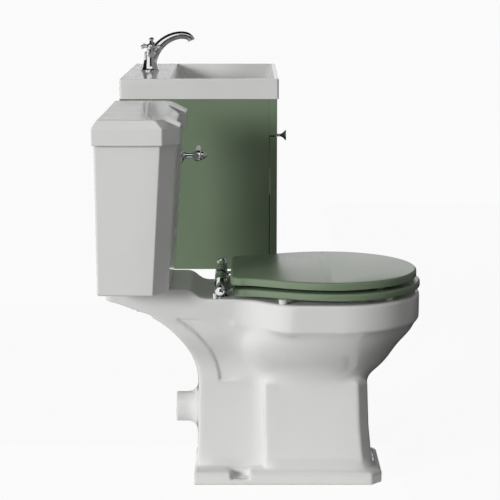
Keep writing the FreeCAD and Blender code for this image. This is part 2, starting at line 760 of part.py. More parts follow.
def fixing_notch(side):
    """Notch in the foot's side with the hole for a floor screw."""
    x = side * FIXING_SPACING / 2
    inner = side * (FOOT_WIDTH / 2 - FIXING_NOTCH_INSET)
    outer = side * (FOOT_WIDTH / 2 + 1)
    half = FIXING_NOTCH_WIDTH / 2
    notch = box(min(inner, outer), max(inner, outer), FIXING_FROM_WALL - half, FIXING_FROM_WALL + half,
                FIXING_LEDGE, FOOT_HEIGHT + 1)
    return notch.fuse(post(x, FIXING_FROM_WALL, -1, FIXING_LEDGE + 1, FIXING_HOLE_R))


def outlet_spigot():
    """Stub for the soil pipe's sleeve, flared into the arm by a round fillet."""
    wide = OUTLET_R + OUTLET_FLARE
    bend = OUTLET_FLARE * math.sqrt(0.5)
    start = ARM_REAR - OUTLET_FLARE
    corners = [pt(wide, ARM_REAR, 0), pt(wide, ARM_REAR + OUTLET_FLARE, 0), pt(0, ARM_REAR + OUTLET_FLARE, 0),
               pt(0, OUTLET_FROM_WALL, 0), pt(OUTLET_R, OUTLET_FROM_WALL, 0), pt(OUTLET_R, start, 0)]
    edges = [line(corners[i], corners[i + 1]) for i in range(len(corners) - 1)]
    edges.append(arc(corners[-1], pt(wide - bend, start + bend, 0), corners[0]))
    stub = Part.Face(Part.Wire(edges)).revolve(V(0, 0, 0), V(0, 1, 0), 360)
    stub.translate(V(0, 0, OUTLET_HEIGHT))
    return positive(stub)


def make_pan():
    arm = arm_block().cut(arm_panels())
    outside = rim_block().fuse([bowl_shell(), shelf_block(), arm, pedestal_block(), foot_block(),
                                outlet_spigot()])
    lip_bottom = RIM_HEIGHT - RIM_TOP_THICKNESS - RIM_LIP_DEPTH
    lip = oval_prism(RIM_TOP_WIDTH - RIM_LIP_THICKNESS, lip_bottom, RIM_HEIGHT - RIM_TOP_THICKNESS / 2)
    hollowed = outside.cut([bowl_hollow(), flushway(), trapway()]).fuse(lip)
    inlet_floor = SHELF_HEIGHT - SHELF_RISE - 4
    washer_floor = SHELF_HEIGHT - COUPLE_WASHER_SINK
    cuts = [oval_prism(RIM_TOP_WIDTH, lip_bottom - 1, RIM_HEIGHT + 1), base_hollow(),
            fixing_notch(-1), fixing_notch(1), access_hole(-1), access_hole(1),
            reach(0, OUTLET_HEIGHT, OUTLET_FROM_WALL - 1, ARM_REAR, OUTLET_R - OUTLET_WALL),
            post(0, INLET_FROM_WALL, inlet_floor, SHELF_HEIGHT + 1, INLET_R),
            post(0, INLET_FROM_WALL, washer_floor, SHELF_HEIGHT + 1, COUPLE_WASHER_R + HOLE_CLEARANCE)]
    bolt_hole = COUPLE_BOLT_R + HOLE_CLEARANCE
    stud_hole = HINGE_STUD_R + HOLE_CLEARANCE
    for side in (-1, 1):
        bolt = side * COUPLE_BOLT_SPACING / 2
        stud = side * HINGE_HOLE_SPACING / 2
        cuts.append(post(bolt, INLET_FROM_WALL, DECK_UNDER, SHELF_HEIGHT + 1, bolt_hole))
        cuts.append(post(bolt, INLET_FROM_WALL, DECK_UNDER, couple_seat(), COUPLE_SPOTFACE_R))
        cuts.append(post(stud, HINGE_FROM_WALL, DECK_UNDER - 1, RIM_HEIGHT + 1, stud_hole))
    save("pan", hollowed.cut(cuts))


# Cistern

def couple_seat():
    """Level of the flats under the shelf that the wing nuts bear on."""
    return SHELF_HEIGHT - SHELF_EDGE - 10


def tank_outline(half, front, inset, front_inset):
    """Six-sided plan of the tank: flat back and two cut front corners."""
    chamfer = TANK_CHAMFER - (2 - math.sqrt(2)) * inset
    return chamfered_plan(half - inset, TANK_BACK + inset, front - front_inset, chamfer)


def tank_front(z):
    """Distance of the tank's sloping front from the wall at height z."""
    share = (z - TANK_BOTTOM) / TANK_HEIGHT
    return TANK_BACK + TANK_BOTTOM_DEPTH + share * (TANK_TOP_DEPTH - TANK_BOTTOM_DEPTH)


def tank_half(z):
    share = (z - TANK_BOTTOM) / TANK_HEIGHT
    return (TANK_BOTTOM_WIDTH + share * (TANK_TOP_WIDTH - TANK_BOTTOM_WIDTH)) / 2


def tank_block(z0, z1, inset, front_inset):
    return stacked([(tank_outline(tank_half(z), tank_front(z), inset, front_inset), z) for z in (z0, z1)])


def recess_tool():
    """Space in front of the sunk middle of the tank's front."""
    x = RECESS_WIDTH / 2
    z0 = TANK_BOTTOM + RECESS_FROM_BOTTOM
    z1 = TANK_TOP + 1
    f = TANK_BACK + TANK_BOTTOM_DEPTH / 2
    r = RECESS_CORNER
    bend = r * (1 - math.sqrt(0.5))
    edges = [line(pt(-x, f, z1), pt(x, f, z1)), line(pt(x, f, z1), pt(x, f, z0 + r)),
             arc(pt(x, f, z0 + r), pt(x - bend, f, z0 + bend), pt(x - r, f, z0)),
             line(pt(x - r, f, z0), pt(r - x, f, z0)),
             arc(pt(r - x, f, z0), pt(bend - x, f, z0 + bend), pt(-x, f, z0 + r)),
             line(pt(-x, f, z0 + r), pt(-x, f, z1))]
    slab = run_edges(edges, V(0, -TANK_TOP_DEPTH, 0))
    kept = tank_block(TANK_BOTTOM, TANK_TOP + 2, 0, RECESS_DEPTH)
    return slab.cut(kept)


def make_cistern_tank():
    outside = tank_block(TANK_BOTTOM, TANK_TOP, 0, 0)
    outside = outside.makeFillet(TANK_ROUND, upright(outside) + edges_at(outside, at_height(TANK_BOTTOM)))
    hollow = tank_block(TANK_FLOOR_TOP, TANK_TOP + 2, TANK_WALL, TANK_FRONT_WALL)
    tank = outside.cut([hollow, recess_tool()])
    before = tank_front(LEVER_Z) + LEVER_ROSE_R
    behind = lever_nut_front() - LEVER_ROSE_R
    under = TANK_BOTTOM - 1
    over = TANK_FLOOR_TOP + 1
    cuts = [reach(LEVER_X, LEVER_Z, behind, before, lever_bush_r() + REST_GAP),
            reach(LEVER_X, LEVER_Z, lever_rose_back(), before, LEVER_ROSE_R + HOLE_CLEARANCE),
            reach(LEVER_X, LEVER_Z, behind, lever_nut_front(), LEVER_NUT_R + HOLE_CLEARANCE),
            post(0, INLET_FROM_WALL, under, over, VALVE_TAIL_R + HOLE_CLEARANCE),
            post(FILL_X, FILL_FROM_WALL, under, over, FILL_TAIL_R + HOLE_CLEARANCE)]
    for side in (-1, 1):
        bolt = side * COUPLE_BOLT_SPACING / 2
        cuts.append(post(bolt, INLET_FROM_WALL, under, over, COUPLE_BOLT_R + HOLE_CLEARANCE))
        screw = side * TANK_SCREW_SPACING / 2
        cuts.append(reach(screw, TANK_TOP - TANK_SCREW_DROP, 0, TANK_BACK + TANK_WALL + 1, TANK_SCREW_R))
    save("cistern_tank", tank.cut(cuts))


def lid_outline(side_inset, front_inset, chamfer, fade):
    """Plan of the cistern lid at one level, with the sunk middle of its front."""
    half = TANK_TOP_WIDTH / 2 + LID_OVERHANG - side_inset
    front = TANK_BACK + TANK_TOP_DEPTH + LID_FRONT_OVERHANG - front_inset
    step = RECESS_WIDTH / 2
    slope = fade * LID_STEP_SLOPE / 2
    sunk = front - fade * RECESS_DEPTH
    return [(-half, side_inset), (half, side_inset), (half, front - chamfer), (half - chamfer, front),
            (step + slope, front), (step - slope, sunk), (slope - step, sunk), (-step - slope, front),
            (chamfer - half, front), (-half, front - chamfer)]


def make_cistern_lid():
    outline = lid_outline(0, 0, TANK_CHAMFER + 3, 1)
    band_top = LID_BOTTOM + LID_BAND
    top = band_top + LID_BEVEL_HEIGHT
    bevel = lid_outline(LID_BEVEL_INSET, LID_FRONT_BEVEL, LID_TOP_CHAMFER, LID_RECESS_FADE)
    lid = stacked([(outline, LID_BOTTOM), (outline, band_top), (bevel, top)])
    lip_inset = TANK_WALL + LID_LIP_CLEARANCE
    inner = lip_inset + LID_LIP_THICKNESS
    wall_extra = TANK_FRONT_WALL - TANK_WALL
    lip_plan = tank_outline(TANK_TOP_WIDTH / 2, TANK_BACK + TANK_TOP_DEPTH, lip_inset, lip_inset + wall_extra)
    hollow_plan = tank_outline(TANK_TOP_WIDTH / 2, TANK_BACK + TANK_TOP_DEPTH, inner, inner + wall_extra)
    lip = plan_prism(lip_plan, LID_BOTTOM - LID_LIP_DEPTH, LID_BOTTOM + 1)
    hollow = plan_prism(hollow_plan, LID_BOTTOM - LID_LIP_DEPTH - 1, top - LID_TOP_THICKNESS)
    save("cistern_lid", fuse(lid, lip).cut(hollow))


def make_couplings():
    """Rubber ring, bolts, seals and wing nuts that join the tank to the pan."""
    washer_bottom = SHELF_HEIGHT - COUPLE_WASHER_SINK
    washer_hole = VALVE_NUT_R + HOLE_CLEARANCE
    save("couple_washer", ring(0, INLET_FROM_WALL, washer_bottom, TANK_BOTTOM, COUPLE_WASHER_R, washer_hole))
    bolts = []
    seals = []
    nuts = []
    f = INLET_FROM_WALL
    seal_top = TANK_FLOOR_TOP + COUPLE_SEAL_HEIGHT
    for side in (-1, 1):
        x = side * COUPLE_BOLT_SPACING / 2
        seals.append(ring(x, f, TANK_FLOOR_TOP, seal_top, COUPLE_SEAL_R, COUPLE_BOLT_R + REST_GAP))
        bolts.append(fuse(post(x, f, seal_top - COUPLE_BOLT_LENGTH, seal_top + 1, COUPLE_BOLT_R),
                          hexagon(x, f, seal_top, seal_top + COUPLE_HEAD_HEIGHT, COUPLE_HEAD_R)))
        nuts.append(wing_nut(x, f, couple_seat(), COUPLE_BOLT_R + REST_GAP / 2))
    save("couple_bolts", *bolts)
    save("couple_seals", *seals)
    save("couple_wing_nuts", *nuts)


def wing_nut(x, f, top, bore):
    """Wing nut whose flange bears upwards at the given level."""
    low = top - WING_NUT_HEIGHT
    hub_r = WING_NUT_R - 5
    hub = upright_turn([(bore, low), (hub_r - 1, low), (hub_r, top - 4), (WING_NUT_R, top - 3),
                        (WING_NUT_R, top), (bore, top)], x, f)
    half = WING_THICKNESS / 2
    wings = box(x - half, x + half, f - WING_SPAN / 2, f + WING_SPAN / 2, low - 2, top - 5)
    return fuse(hub, wings.cut(post(x, f, low - 3, top, bore + 1)))


# Flush valve, lever and fill valve

def plunger_rest():
    """Level of the valve's seat that the plunger closes on."""
    return TANK_FLOOR_TOP + PLUNGER_SEAT_HEIGHT


def lever_arm_length():
    return (LEVER_X - 14) / math.cos(math.radians(LEVER_DROOP))


def lift_plate_z():
    """Underside of the lift plate while the lever is at rest."""
    pin = LEVER_Z - lever_arm_length() * math.sin(math.radians(LEVER_DROOP))
    return pin + LEVER_PIN_R + LEVER_PIN_GAP


def make_flush_valve():
    f = INLET_FROM_WALL
    floor = TANK_FLOOR_TOP
    cage_top = floor + VALVE_CAGE_HEIGHT
    cage_flange = VALVE_CAGE_R + 5
    seat = plunger_rest()
    inner = VALVE_CAGE_R - VALVE_CAGE_WALL
    throat = VALVE_TAIL_R - 4
    guide = PLUNGER_ROD_R + MOVING_GAP
    tail_end = SHELF_HEIGHT - COUPLE_WASHER_SINK - 6
    body = upright_turn([(throat, tail_end), (VALVE_TAIL_R, tail_end), (VALVE_TAIL_R, floor),
                         (cage_flange, floor), (cage_flange, floor + 4), (VALVE_CAGE_R, floor + 5),
                         (VALVE_CAGE_R, cage_top), (guide, cage_top), (guide, cage_top - 5),
                         (inner, cage_top - 5), (inner, seat), (throat, seat)], 0, f)
    windows = []
    for turn in (0, 90):
        window = Part.makeBox(3 * VALVE_CAGE_R, VALVE_CAGE_R, VALVE_CAGE_HEIGHT - 48,
                              V(-1.5 * VALVE_CAGE_R, -VALVE_CAGE_R / 2, seat + 14))
        window.rotate(V(0, 0, 0), V(0, 0, 1), turn)
        window.translate(pt(0, f, 0))
        windows.append(window)
    save("flush_valve_body", body.cut(windows))
    nut = hexagon(0, f, TANK_BOTTOM - VALVE_NUT_HEIGHT, TANK_BOTTOM, VALVE_NUT_R)
    thread = post(0, f, TANK_BOTTOM - VALVE_NUT_HEIGHT - 1, TANK_BOTTOM + 1, VALVE_TAIL_R + REST_GAP / 2)
    save("flush_valve_nut", nut.cut(thread))
    plate = lift_plate_z()
    low = seat + REST_GAP
    plunger = upright_turn([(0, low), (PLUNGER_R, low), (PLUNGER_R, low + 5), (12, low + 10),
                            (PLUNGER_ROD_R, low + 17), (PLUNGER_ROD_R, plate), (PLUNGER_LIFT_PLATE_R, plate),
                            (PLUNGER_LIFT_PLATE_R, plate + 3), (6, plate + 5), (0, plate + 8)], 0, f)
    save("flush_plunger", plunger)


def lever_bush_r():
    return LEVER_SHAFT_R + LEVER_BUSH_WALL


def lever_rose_back():
    """Flat that the rose bears on, where it just clears the sloping front."""
    return tank_front(LEVER_Z - LEVER_ROSE_R - 1)


def lever_nut_front():
    return tank_front(LEVER_Z - LEVER_ROSE_R) - TANK_FRONT_WALL


def lever_point(f):
    return pt(LEVER_X, f, LEVER_Z)


def make_lever():
    out = V(0, -1, 0)
    back = lever_rose_back()
    nut_front = lever_nut_front()
    nut_back = nut_front - LEVER_NUT_HEIGHT
    bush = lever_bush_r()
    bush_end = nut_back - back - 3
    bore = LEVER_SHAFT_R + RUNNING
    face = LEVER_ROSE_HEIGHT
    rose = turned([(bore, bush_end), (bush, bush_end), (bush, 0), (LEVER_ROSE_R, 0), (LEVER_ROSE_R, 2.5),
                   (LEVER_ROSE_R - 4, face - 3), (bush + 1, face - 2), (bush, face), (bore, face)],
                  lever_point(back), out)
    save("lever_rose", rose)
    nut = reach(LEVER_X, LEVER_Z, nut_back, nut_front, LEVER_NUT_R)
    thread = reach(LEVER_X, LEVER_Z, nut_back - 1, nut_front + 1, bush + REST_GAP / 2)
    save("lever_locknut", nut.cut(thread))
    save("lever_spindle", fuse(lever_shaft(out), lever_ferrule()))
    along = lever_direction()
    save("lever_handle", handle_grip(ferrule_end(), LEVER_HANDLE_LENGTH, LEVER_HANDLE_R, lever_hub(), along))
    save("lever_arm", lever_arm(INLET_FROM_WALL))


def lever_hub():
    """Middle of the hub that the handle is screwed into."""
    return lever_point(lever_rose_back() + LEVER_HUB_START + LEVER_HUB_LENGTH / 2)


def lever_direction():
    rise = math.radians(LEVER_HANDLE_RISE)
    return V(math.cos(rise), 0, math.sin(rise))


def lever_shaft(out):
    """Spindle through the tank's front, with its neck, hub and pointed end."""
    back = lever_rose_back()
    neck = LEVER_NECK_R - 1.5
    neck_start = LEVER_ROSE_HEIGHT + MOVING_GAP
    hub_end = LEVER_HUB_START + LEVER_HUB_LENGTH
    inner_end = INLET_FROM_WALL - 12 - back
    return turned([(0, inner_end), (LEVER_SHAFT_R, inner_end), (LEVER_SHAFT_R, neck_start),
                   (LEVER_NECK_R, neck_start), (neck, neck_start + 6), (neck, LEVER_HUB_START - 4),
                   (LEVER_HUB_R - 2, LEVER_HUB_START), (LEVER_HUB_R, LEVER_HUB_START + 3),
                   (LEVER_HUB_R, hub_end - 3), (LEVER_HUB_R - 3, hub_end), (LEVER_HUB_R - 4, hub_end + 5),
                   (4, hub_end + 10), (2.5, LEVER_REACH - 3), (0, LEVER_REACH)], lever_point(back), out)


def ferrule_end():
    return LEVER_HUB_R + 8


def lever_ferrule():
    """Collar on the hub that holds the handle's neck."""
    start = LEVER_HUB_R - 5
    slim = LEVER_FERRULE_R - 1.5
    return turned([(0, start), (slim, start), (slim, LEVER_HUB_R + 3), (LEVER_FERRULE_R, LEVER_HUB_R + 5),
                   (LEVER_FERRULE_R, ferrule_end()), (0, ferrule_end())], lever_hub(), lever_direction())


def handle_grip(start, length, full, base, along):
    """Porcelain grip: a slim neck swelling to a rounded end."""
    tip = V(0, 0, start + length)
    swell = V(full, 0, start + 0.72 * length)
    neck = V(0.6 * full, 0, start)
    edges = [line(V(0, 0, start), neck),
             bezier(neck, V(0.62 * full, 0, start + 0.3 * length), V(full, 0, start + 0.45 * length), swell),
             bezier(swell, V(full, 0, start + 0.9 * length), V(0.7 * full, 0, start + length), tip),
             line(tip, V(0, 0, start))]
    face = Part.Face(Part.Wire(edges))
    grip = positive(face.revolve(V(0, 0, 0), V(0, 0, 1), 360))
    grip.Placement = FreeCAD.Placement(base, FreeCAD.Rotation(V(0, 0, 1), along))
    return grip


def lever_arm(f):
    """Arm inside the tank: a boss on the spindle and a fork under the lift plate."""
    length = lever_arm_length()
    boss = rod(V(0, 9, 0), V(0, -9, 0), 10)
    parts = []
    fork_start = length - LEVER_FORK_LENGTH
    parts.append(Part.makeBox(fork_start, 8, 7, V(-fork_start, -4, -3.5)))
    for side in (-1, 1):
        middle = side * (PLUNGER_ROD_R + 7)
        prong = Part.makeBox(length - fork_start, 5, 5, V(-length, middle - 2.5, -2.5))
        parts.append(prong)
        parts.append(rod(V(-length, middle - 4, 0), V(-length, middle + 4, 0), LEVER_PIN_R))
    bridge = PLUNGER_ROD_R + 9.5
    parts.append(Part.makeBox(7, 2 * bridge, 7, V(-fork_start - 5, -bridge, -3.5)))
    arm = fuse(boss, *parts).cut(rod(V(0, 20, 0), V(0, -20, 0), LEVER_SHAFT_R))
    arm.rotate(V(0, 0, 0), V(0, 1, 0), -LEVER_DROOP)
    arm.translate(pt(LEVER_X, f, LEVER_Z))
    return arm


def make_fill_valve():
    x = FILL_X
    f = FILL_FROM_WALL
    floor = TANK_FLOOR_TOP
    top = floor + FILL_HEIGHT
    tail = TANK_BOTTOM - FILL_TAIL_LENGTH
    bore = FILL_TAIL_R - 3.5
    thread = FILL_TAIL_R + REST_GAP
    thread_end = TANK_BOTTOM - FILL_NUT_HEIGHT - HOLE_CLEARANCE
    flange = FILL_TUBE_R + 6
    body = upright_turn([(bore, tail), (FILL_TAIL_R, tail), (FILL_TAIL_R, thread_end), (thread, thread_end),
                         (thread, floor), (flange, floor), (flange, floor + FILL_FLANGE_HEIGHT - 2),
                         (FILL_TUBE_R, floor + FILL_FLANGE_HEIGHT), (FILL_TUBE_R, top - 26),
                         (FILL_HEAD_R, top - 20), (FILL_HEAD_R, top - 4), (FILL_HEAD_R - 4, top), (0, top),
                         (0, top - 30), (bore, top - 30)], x, f)
    save("fill_valve", body)
    nut = hexagon(x, f, TANK_BOTTOM - FILL_NUT_HEIGHT, TANK_BOTTOM, FILL_NUT_R)
    save("fill_valve_nut", nut.cut(post(x, f, thread_end, TANK_BOTTOM + 1, thread)))
    low = floor + FILL_FLANGE_HEIGHT + REST_GAP
    high = low + FLOAT_HEIGHT
    inner = FILL_TUBE_R + MOVING_GAP
    skin = FLOAT_R - 2
    cup = upright_turn([(inner, low), (inner + 3, low), (inner + 3, high - 4), (skin, high - 4), (skin, low),
                        (FLOAT_R, low), (FLOAT_R, high - 2), (skin, high), (inner, high)], x, f)
    save("fill_float", cup)


# Seat, lid and hinge

def seat_outline(front, width, rear, rear_width, z):
    """Round-fronted plan that narrows to a straight back edge."""
    half = width / 2
    back = rear_width / 2
    corner = SEAT_REAR_CORNER
    centre = front - half
    pull = (centre - rear - corner) / 2
    edges = [arc(pt(-half, centre, z), pt(0, front, z), pt(half, centre, z)),
             line(pt(corner - back, rear, z), pt(back - corner, rear, z))]
    bend = corner * (1 - math.sqrt(0.5))
    for side in (-1, 1):
        edges.append(arc(pt(side * (back - corner), rear, z), pt(side * (back - bend), rear + bend, z),
                         pt(side * back, rear + corner, z)))
        edges.append(bezier(pt(side * back, rear + corner, z), pt(side * back, rear + corner + pull / 2, z),
                            pt(side * half, centre - pull, z), pt(side * half, centre, z)))
    return edges


def seat_front():
    return PAN_PROJECTION + SEAT_FRONT_OVERLAP


def make_seat_ring():
    blank = run_edges(seat_outline(seat_front(), SEAT_WIDTH, SEAT_REAR, SEAT_REAR_WIDTH, SEAT_BOTTOM),
                      V(0, 0, SEAT_THICKNESS))
    edges = edges_at(blank, at_height(SEAT_TOP)) + edges_at(blank, at_height(SEAT_BOTTOM))
    blank = blank.makeFillet(SEAT_ROUND, edges)
    hole = oval(seat_front() - SEAT_HOLE_FRONT_MARGIN, SEAT_HOLE_REAR, SEAT_HOLE_WIDTH / 2,
                BOWL_WIDEST, SEAT_BOTTOM - 1)
    ring_shape = blank.cut(positive(Part.Face(hole).extrude(V(0, 0, SEAT_THICKNESS + 2))))
    inner = [edge for edge in edges_at(ring_shape, at_height(SEAT_TOP)) if edge.Length > SEAT_HOLE_WIDTH]
    hole_edge = [edge for edge in inner if edge.BoundBox.XLength < SEAT_HOLE_WIDTH + 2]
    save("seat_ring", ring_shape.makeFillet(SEAT_ROUND, hole_edge))


def make_seat_lid():
    front = seat_front() - SEATLID_FRONT_INSET
    lid = run_edges(seat_outline(front, SEATLID_WIDTH, SEAT_REAR - 4, SEAT_REAR_WIDTH, SEATLID_BOTTOM),
                    V(0, 0, SEATLID_THICKNESS))
    lid = lid.makeFillet(SEAT_ROUND, edges_at(lid, at_height(SEATLID_TOP)))
    save("seat_lid", lid.makeFillet(2, edges_at(lid, at_height(SEATLID_BOTTOM))))


def hinge_plate(x, level):
    """Leaf with a barrel round the hinge bar; the leaf's top lies at the level."""
    x0 = x - HINGE_PLATE_WIDTH / 2
    x1 = x + HINGE_PLATE_WIDTH / 2
    f = HINGE_FROM_WALL
    barrel = crossbar(f, HINGE_Z, x0, x1, HINGE_BARREL_R)
    low = level - HINGE_PLATE_THICKNESS
    start = f + HINGE_BARREL_R
    end = f + HINGE_PLATE_LENGTH
    leaf = side_prism([(f, HINGE_Z + 4), (start - 1, HINGE_Z + 2), (start + 8, level), (end, level),
                       (end, low), (start, low), (f, HINGE_Z - 10)], x0, x1)
    return fuse(barrel, leaf).cut(crossbar(f, HINGE_Z, x0 - 1, x1 + 1, HINGE_BAR_R + HINGE_EYE_PLAY))


def make_hinge():
    half = HINGE_BAR_LENGTH / 2
    f = HINGE_FROM_WALL
    save("hinge_bar", crossbar(f, HINGE_Z, -half, half, HINGE_BAR_R))
    caps = []
    nuts = []
    ball = ball_profile(HINGE_BALL_R, HINGE_BAR_R + 1)
    for name, side in (("left", -1), ("right", 1)):
        caps.append(turned(ball, pt(side * half, f, HINGE_Z), V(side, 0, 0)))
        x = side * HINGE_HOLE_SPACING / 2
        save("hinge_pillar_" + name, hinge_pillar(x, f))
        nuts.append(wing_nut(x, f, DECK_UNDER, HINGE_STUD_R + REST_GAP / 2))
    save("hinge_end_caps", *caps)
    save("hinge_wing_nuts", *nuts)
    save("seat_hinge_plates", *[hinge_plate(side * SEAT_PLATE_X, SEAT_BOTTOM) for side in (-1, 1)])
    save("lid_hinge_plates", *[hinge_plate(side * LID_PLATE_X, SEATLID_BOTTOM) for side in (-1, 1)])


def hinge_pillar(x, f):
    """Stud, flange and eye that carry the hinge bar on the pan."""
    rim = RIM_HEIGHT
    stud_end = rim - HINGE_STUD_DROP
    flange = HINGE_FLANGE_R
    pillar = upright_turn([(0, stud_end), (HINGE_STUD_R, stud_end), (HINGE_STUD_R, rim), (flange, rim),
                           (flange, rim + 2), (flange - 5, rim + 5), (HINGE_PILLAR_R, rim + 8),
                           (HINGE_PILLAR_R, HINGE_Z), (0, HINGE_Z)], x, f)
    eye = crossbar(f, HINGE_Z, x - HINGE_PILLAR_R, x + HINGE_PILLAR_R, HINGE_BARREL_R)
    bore = crossbar(f, HINGE_Z, x - 2 * HINGE_PILLAR_R, x + 2 * HINGE_PILLAR_R, HINGE_BAR_R)
    return fuse(pillar, eye).cut(bore)


def ball_profile(radius, neck):
    """Half outline of a ball on a short collar, from its flat foot to its tip."""
    points = [(0, 0), (neck, 0), (neck, 2)]
    centre = 2 + math.sqrt(radius ** 2 - neck ** 2)
    start = math.asin(neck / radius)
    for step in range(1, 9):
        turn = math.pi - start - step * (math.pi - start) / 8
        points.append((radius * math.sin(turn), centre + radius * math.cos(turn)))
    points[-1] = (0, centre + radius)
    return points


def make_buffers():
    seat_spots = [(RIM_WIDTH / 2 - BUFFER_SIDE_INSET, BOWL_WIDEST - BUFFER_SIDE_BACK),
                  (RIM_WIDTH / 2 - BUFFER_FRONT_INSET, PAN_PROJECTION - BUFFER_FRONT_BACK)]
    lid_spots = [(SEAT_HOLE_WIDTH / 2 + LID_BUFFER_OUTSET, PAN_PROJECTION - LID_BUFFER_BACK)]
    seat_buffers = []
    lid_buffers = []
    for side in (-1, 1):
        for x, f in seat_spots:
            seat_buffers.append(buffer(side * x, f, RIM_HEIGHT + REST_GAP, SEAT_BOTTOM))
        for x, f in lid_spots:
            lid_buffers.append(buffer(side * x, f, SEAT_TOP + REST_GAP, SEATLID_BOTTOM))
    save("seat_buffers", *seat_buffers)
    save("lid_buffers", *lid_buffers)


def buffer(x, f, low, high):
    """Rubber foot with its rounded end down."""
    end = BUFFER_R - 2
    return upright_turn([(0, low), (end, low), (BUFFER_R, low + 2), (BUFFER_R, high), (0, high)], x, f)


# Vanity cabinet and drawer

def make_cabinet():
    inner0 = CABINET_X0 + BOARD
    inner1 = CABINET_X1 - BOARD
    save("cabinet_side_left", box(CABINET_X0, inner0, 0, CABINET_DEPTH, CABINET_BOTTOM, CABINET_TOP))
    save("cabinet_side_right", box(inner1, CABINET_X1, 0, CABINET_DEPTH, CABINET_BOTTOM, CABINET_TOP))
    save("cabinet_bottom", box(inner0, inner1, 0, CABINET_DEPTH, CABINET_BOTTOM, CABINET_BOTTOM + BOARD))
    rail = box(inner0, inner1, 0, RAIL_THICKNESS, CABINET_TOP - RAIL_HEIGHT, CABINET_TOP)
    holes = []
    for side in (-1, 1):
        x = VANITY_X + side * WALL_HOLE_SPACING / 2
        z = CABINET_TOP - RAIL_HEIGHT / 2
        holes.append(reach(x, z, -1, RAIL_THICKNESS + 1, WALL_HOLE_R))
    save("cabinet_hanging_rail", rail.cut(holes))
    low = CABINET_BOTTOM + BOARD
    save("cabinet_low_rail", box(inner0, inner1, 0, RAIL_THICKNESS, low, low + LOW_RAIL_HEIGHT))
    front = box(CABINET_X0, CABINET_X1, CABINET_DEPTH, CABINET_DEPTH + FRONT_SHADOW + FRONT_THICKNESS,
                FALSE_FRONT_BOTTOM, CABINET_TOP)
    save("cabinet_false_front", front)


def runner_level():
    return CABINET_BOTTOM + BOARD + RUNNER_FROM_FLOOR


def make_runners():
    """Pairs of channels: one on the cabinet's side and one on the drawer's."""
    z0 = runner_level()
    z1 = z0 + RUNNER_HEIGHT
    f1 = CABINET_DEPTH - 4
    f0 = f1 - RUNNER_LENGTH
    lap = RUNNER_SIDE - 2 * RUNNER_SKIN
    for name, wall, inward in (("left", CABINET_X0 + BOARD, 1), ("right", CABINET_X1 - BOARD, -1)):
        outer_mouth = wall + inward * (RUNNER_SIDE - RUNNER_SKIN - MOVING_GAP)
        fixed = span_box(wall, outer_mouth, f0, f1, z0, z1)
        fixed = fixed.cut(span_box(wall + inward * RUNNER_SKIN, outer_mouth + inward, f0 - 1, f1 + 1,
                                   z0 + RUNNER_SKIN, z1 - RUNNER_SKIN))
        save("runner_fixed_" + name, fixed)
        drawer_face = wall + inward * RUNNER_SIDE
        inner_mouth = drawer_face - inward * lap
        gap = RUNNER_SKIN + MOVING_GAP
        moving = span_box(inner_mouth, drawer_face, f0, f1, z0 + gap, z1 - gap)
        moving = moving.cut(span_box(inner_mouth - inward, drawer_face - inward * RUNNER_SKIN, f0 - 1, f1 + 1,
                                     z0 + gap + RUNNER_SKIN, z1 - gap - RUNNER_SKIN))
        save("runner_moving_" + name, moving)


def span_box(xa, xb, f0, f1, z0, z1):
    return box(min(xa, xb), max(xa, xb), f0, f1, z0, z1)


def make_drawer():
    outer0 = CABINET_X0 + BOARD + RUNNER_SIDE
    outer1 = CABINET_X1 - BOARD - RUNNER_SIDE
    inner0 = outer0 + DRAWER_BOARD
    inner1 = outer1 - DRAWER_BOARD
    z0 = CABINET_BOTTOM + BOARD + DRAWER_OVER_FLOOR
    z1 = z0 + DRAWER_SIDE_HEIGHT
    f0 = DRAWER_BACK_CLEARANCE
    f1 = DRAWER_BACK_FACE
    base_z = z0 + DRAWER_BASE_RAISE
    base = box(inner0 - DRAWER_GROOVE, inner1 + DRAWER_GROOVE, f0 + DRAWER_GROOVE, f1,
               base_z, base_z + DRAWER_BASE)
    save("drawer_bottom", base)
    save("drawer_side_left", box(outer0, inner0, f0, f1, z0, z1).cut(base))
    save("drawer_side_right", box(inner1, outer1, f0, f1, z0, z1).cut(base))
    save("drawer_back", box(inner0, inner1, f0, f0 + DRAWER_BOARD, z0, z1).cut(base))
    front = box(CABINET_X0, CABINET_X1, f1, f1 + FRONT_THICKNESS, CABINET_BOTTOM, DRAWER_FRONT_TOP)
    face = f1 + FRONT_THICKNESS
    panel = []
    for depth, margin in ((0.0, FRAME_WIDTH), (FRAME_RECESS, FRAME_WIDTH + FRAME_BEVEL)):
        x0 = CABINET_X0 + margin
        x1 = CABINET_X1 - margin
        low = CABINET_BOTTOM + margin
        high = DRAWER_FRONT_TOP - margin
        f = face - depth
        panel.append(polygon([pt(x0, f, low), pt(x1, f, low), pt(x1, f, high), pt(x0, f, high)]))
    sunk = positive(Part.makeLoft(panel, True, True))
    hole = reach(VANITY_X, KNOB_Z, f1 - 1, face + 1, KNOB_SCREW_R + REST_GAP)
    save("drawer_front", front.cut([sunk, hole]))


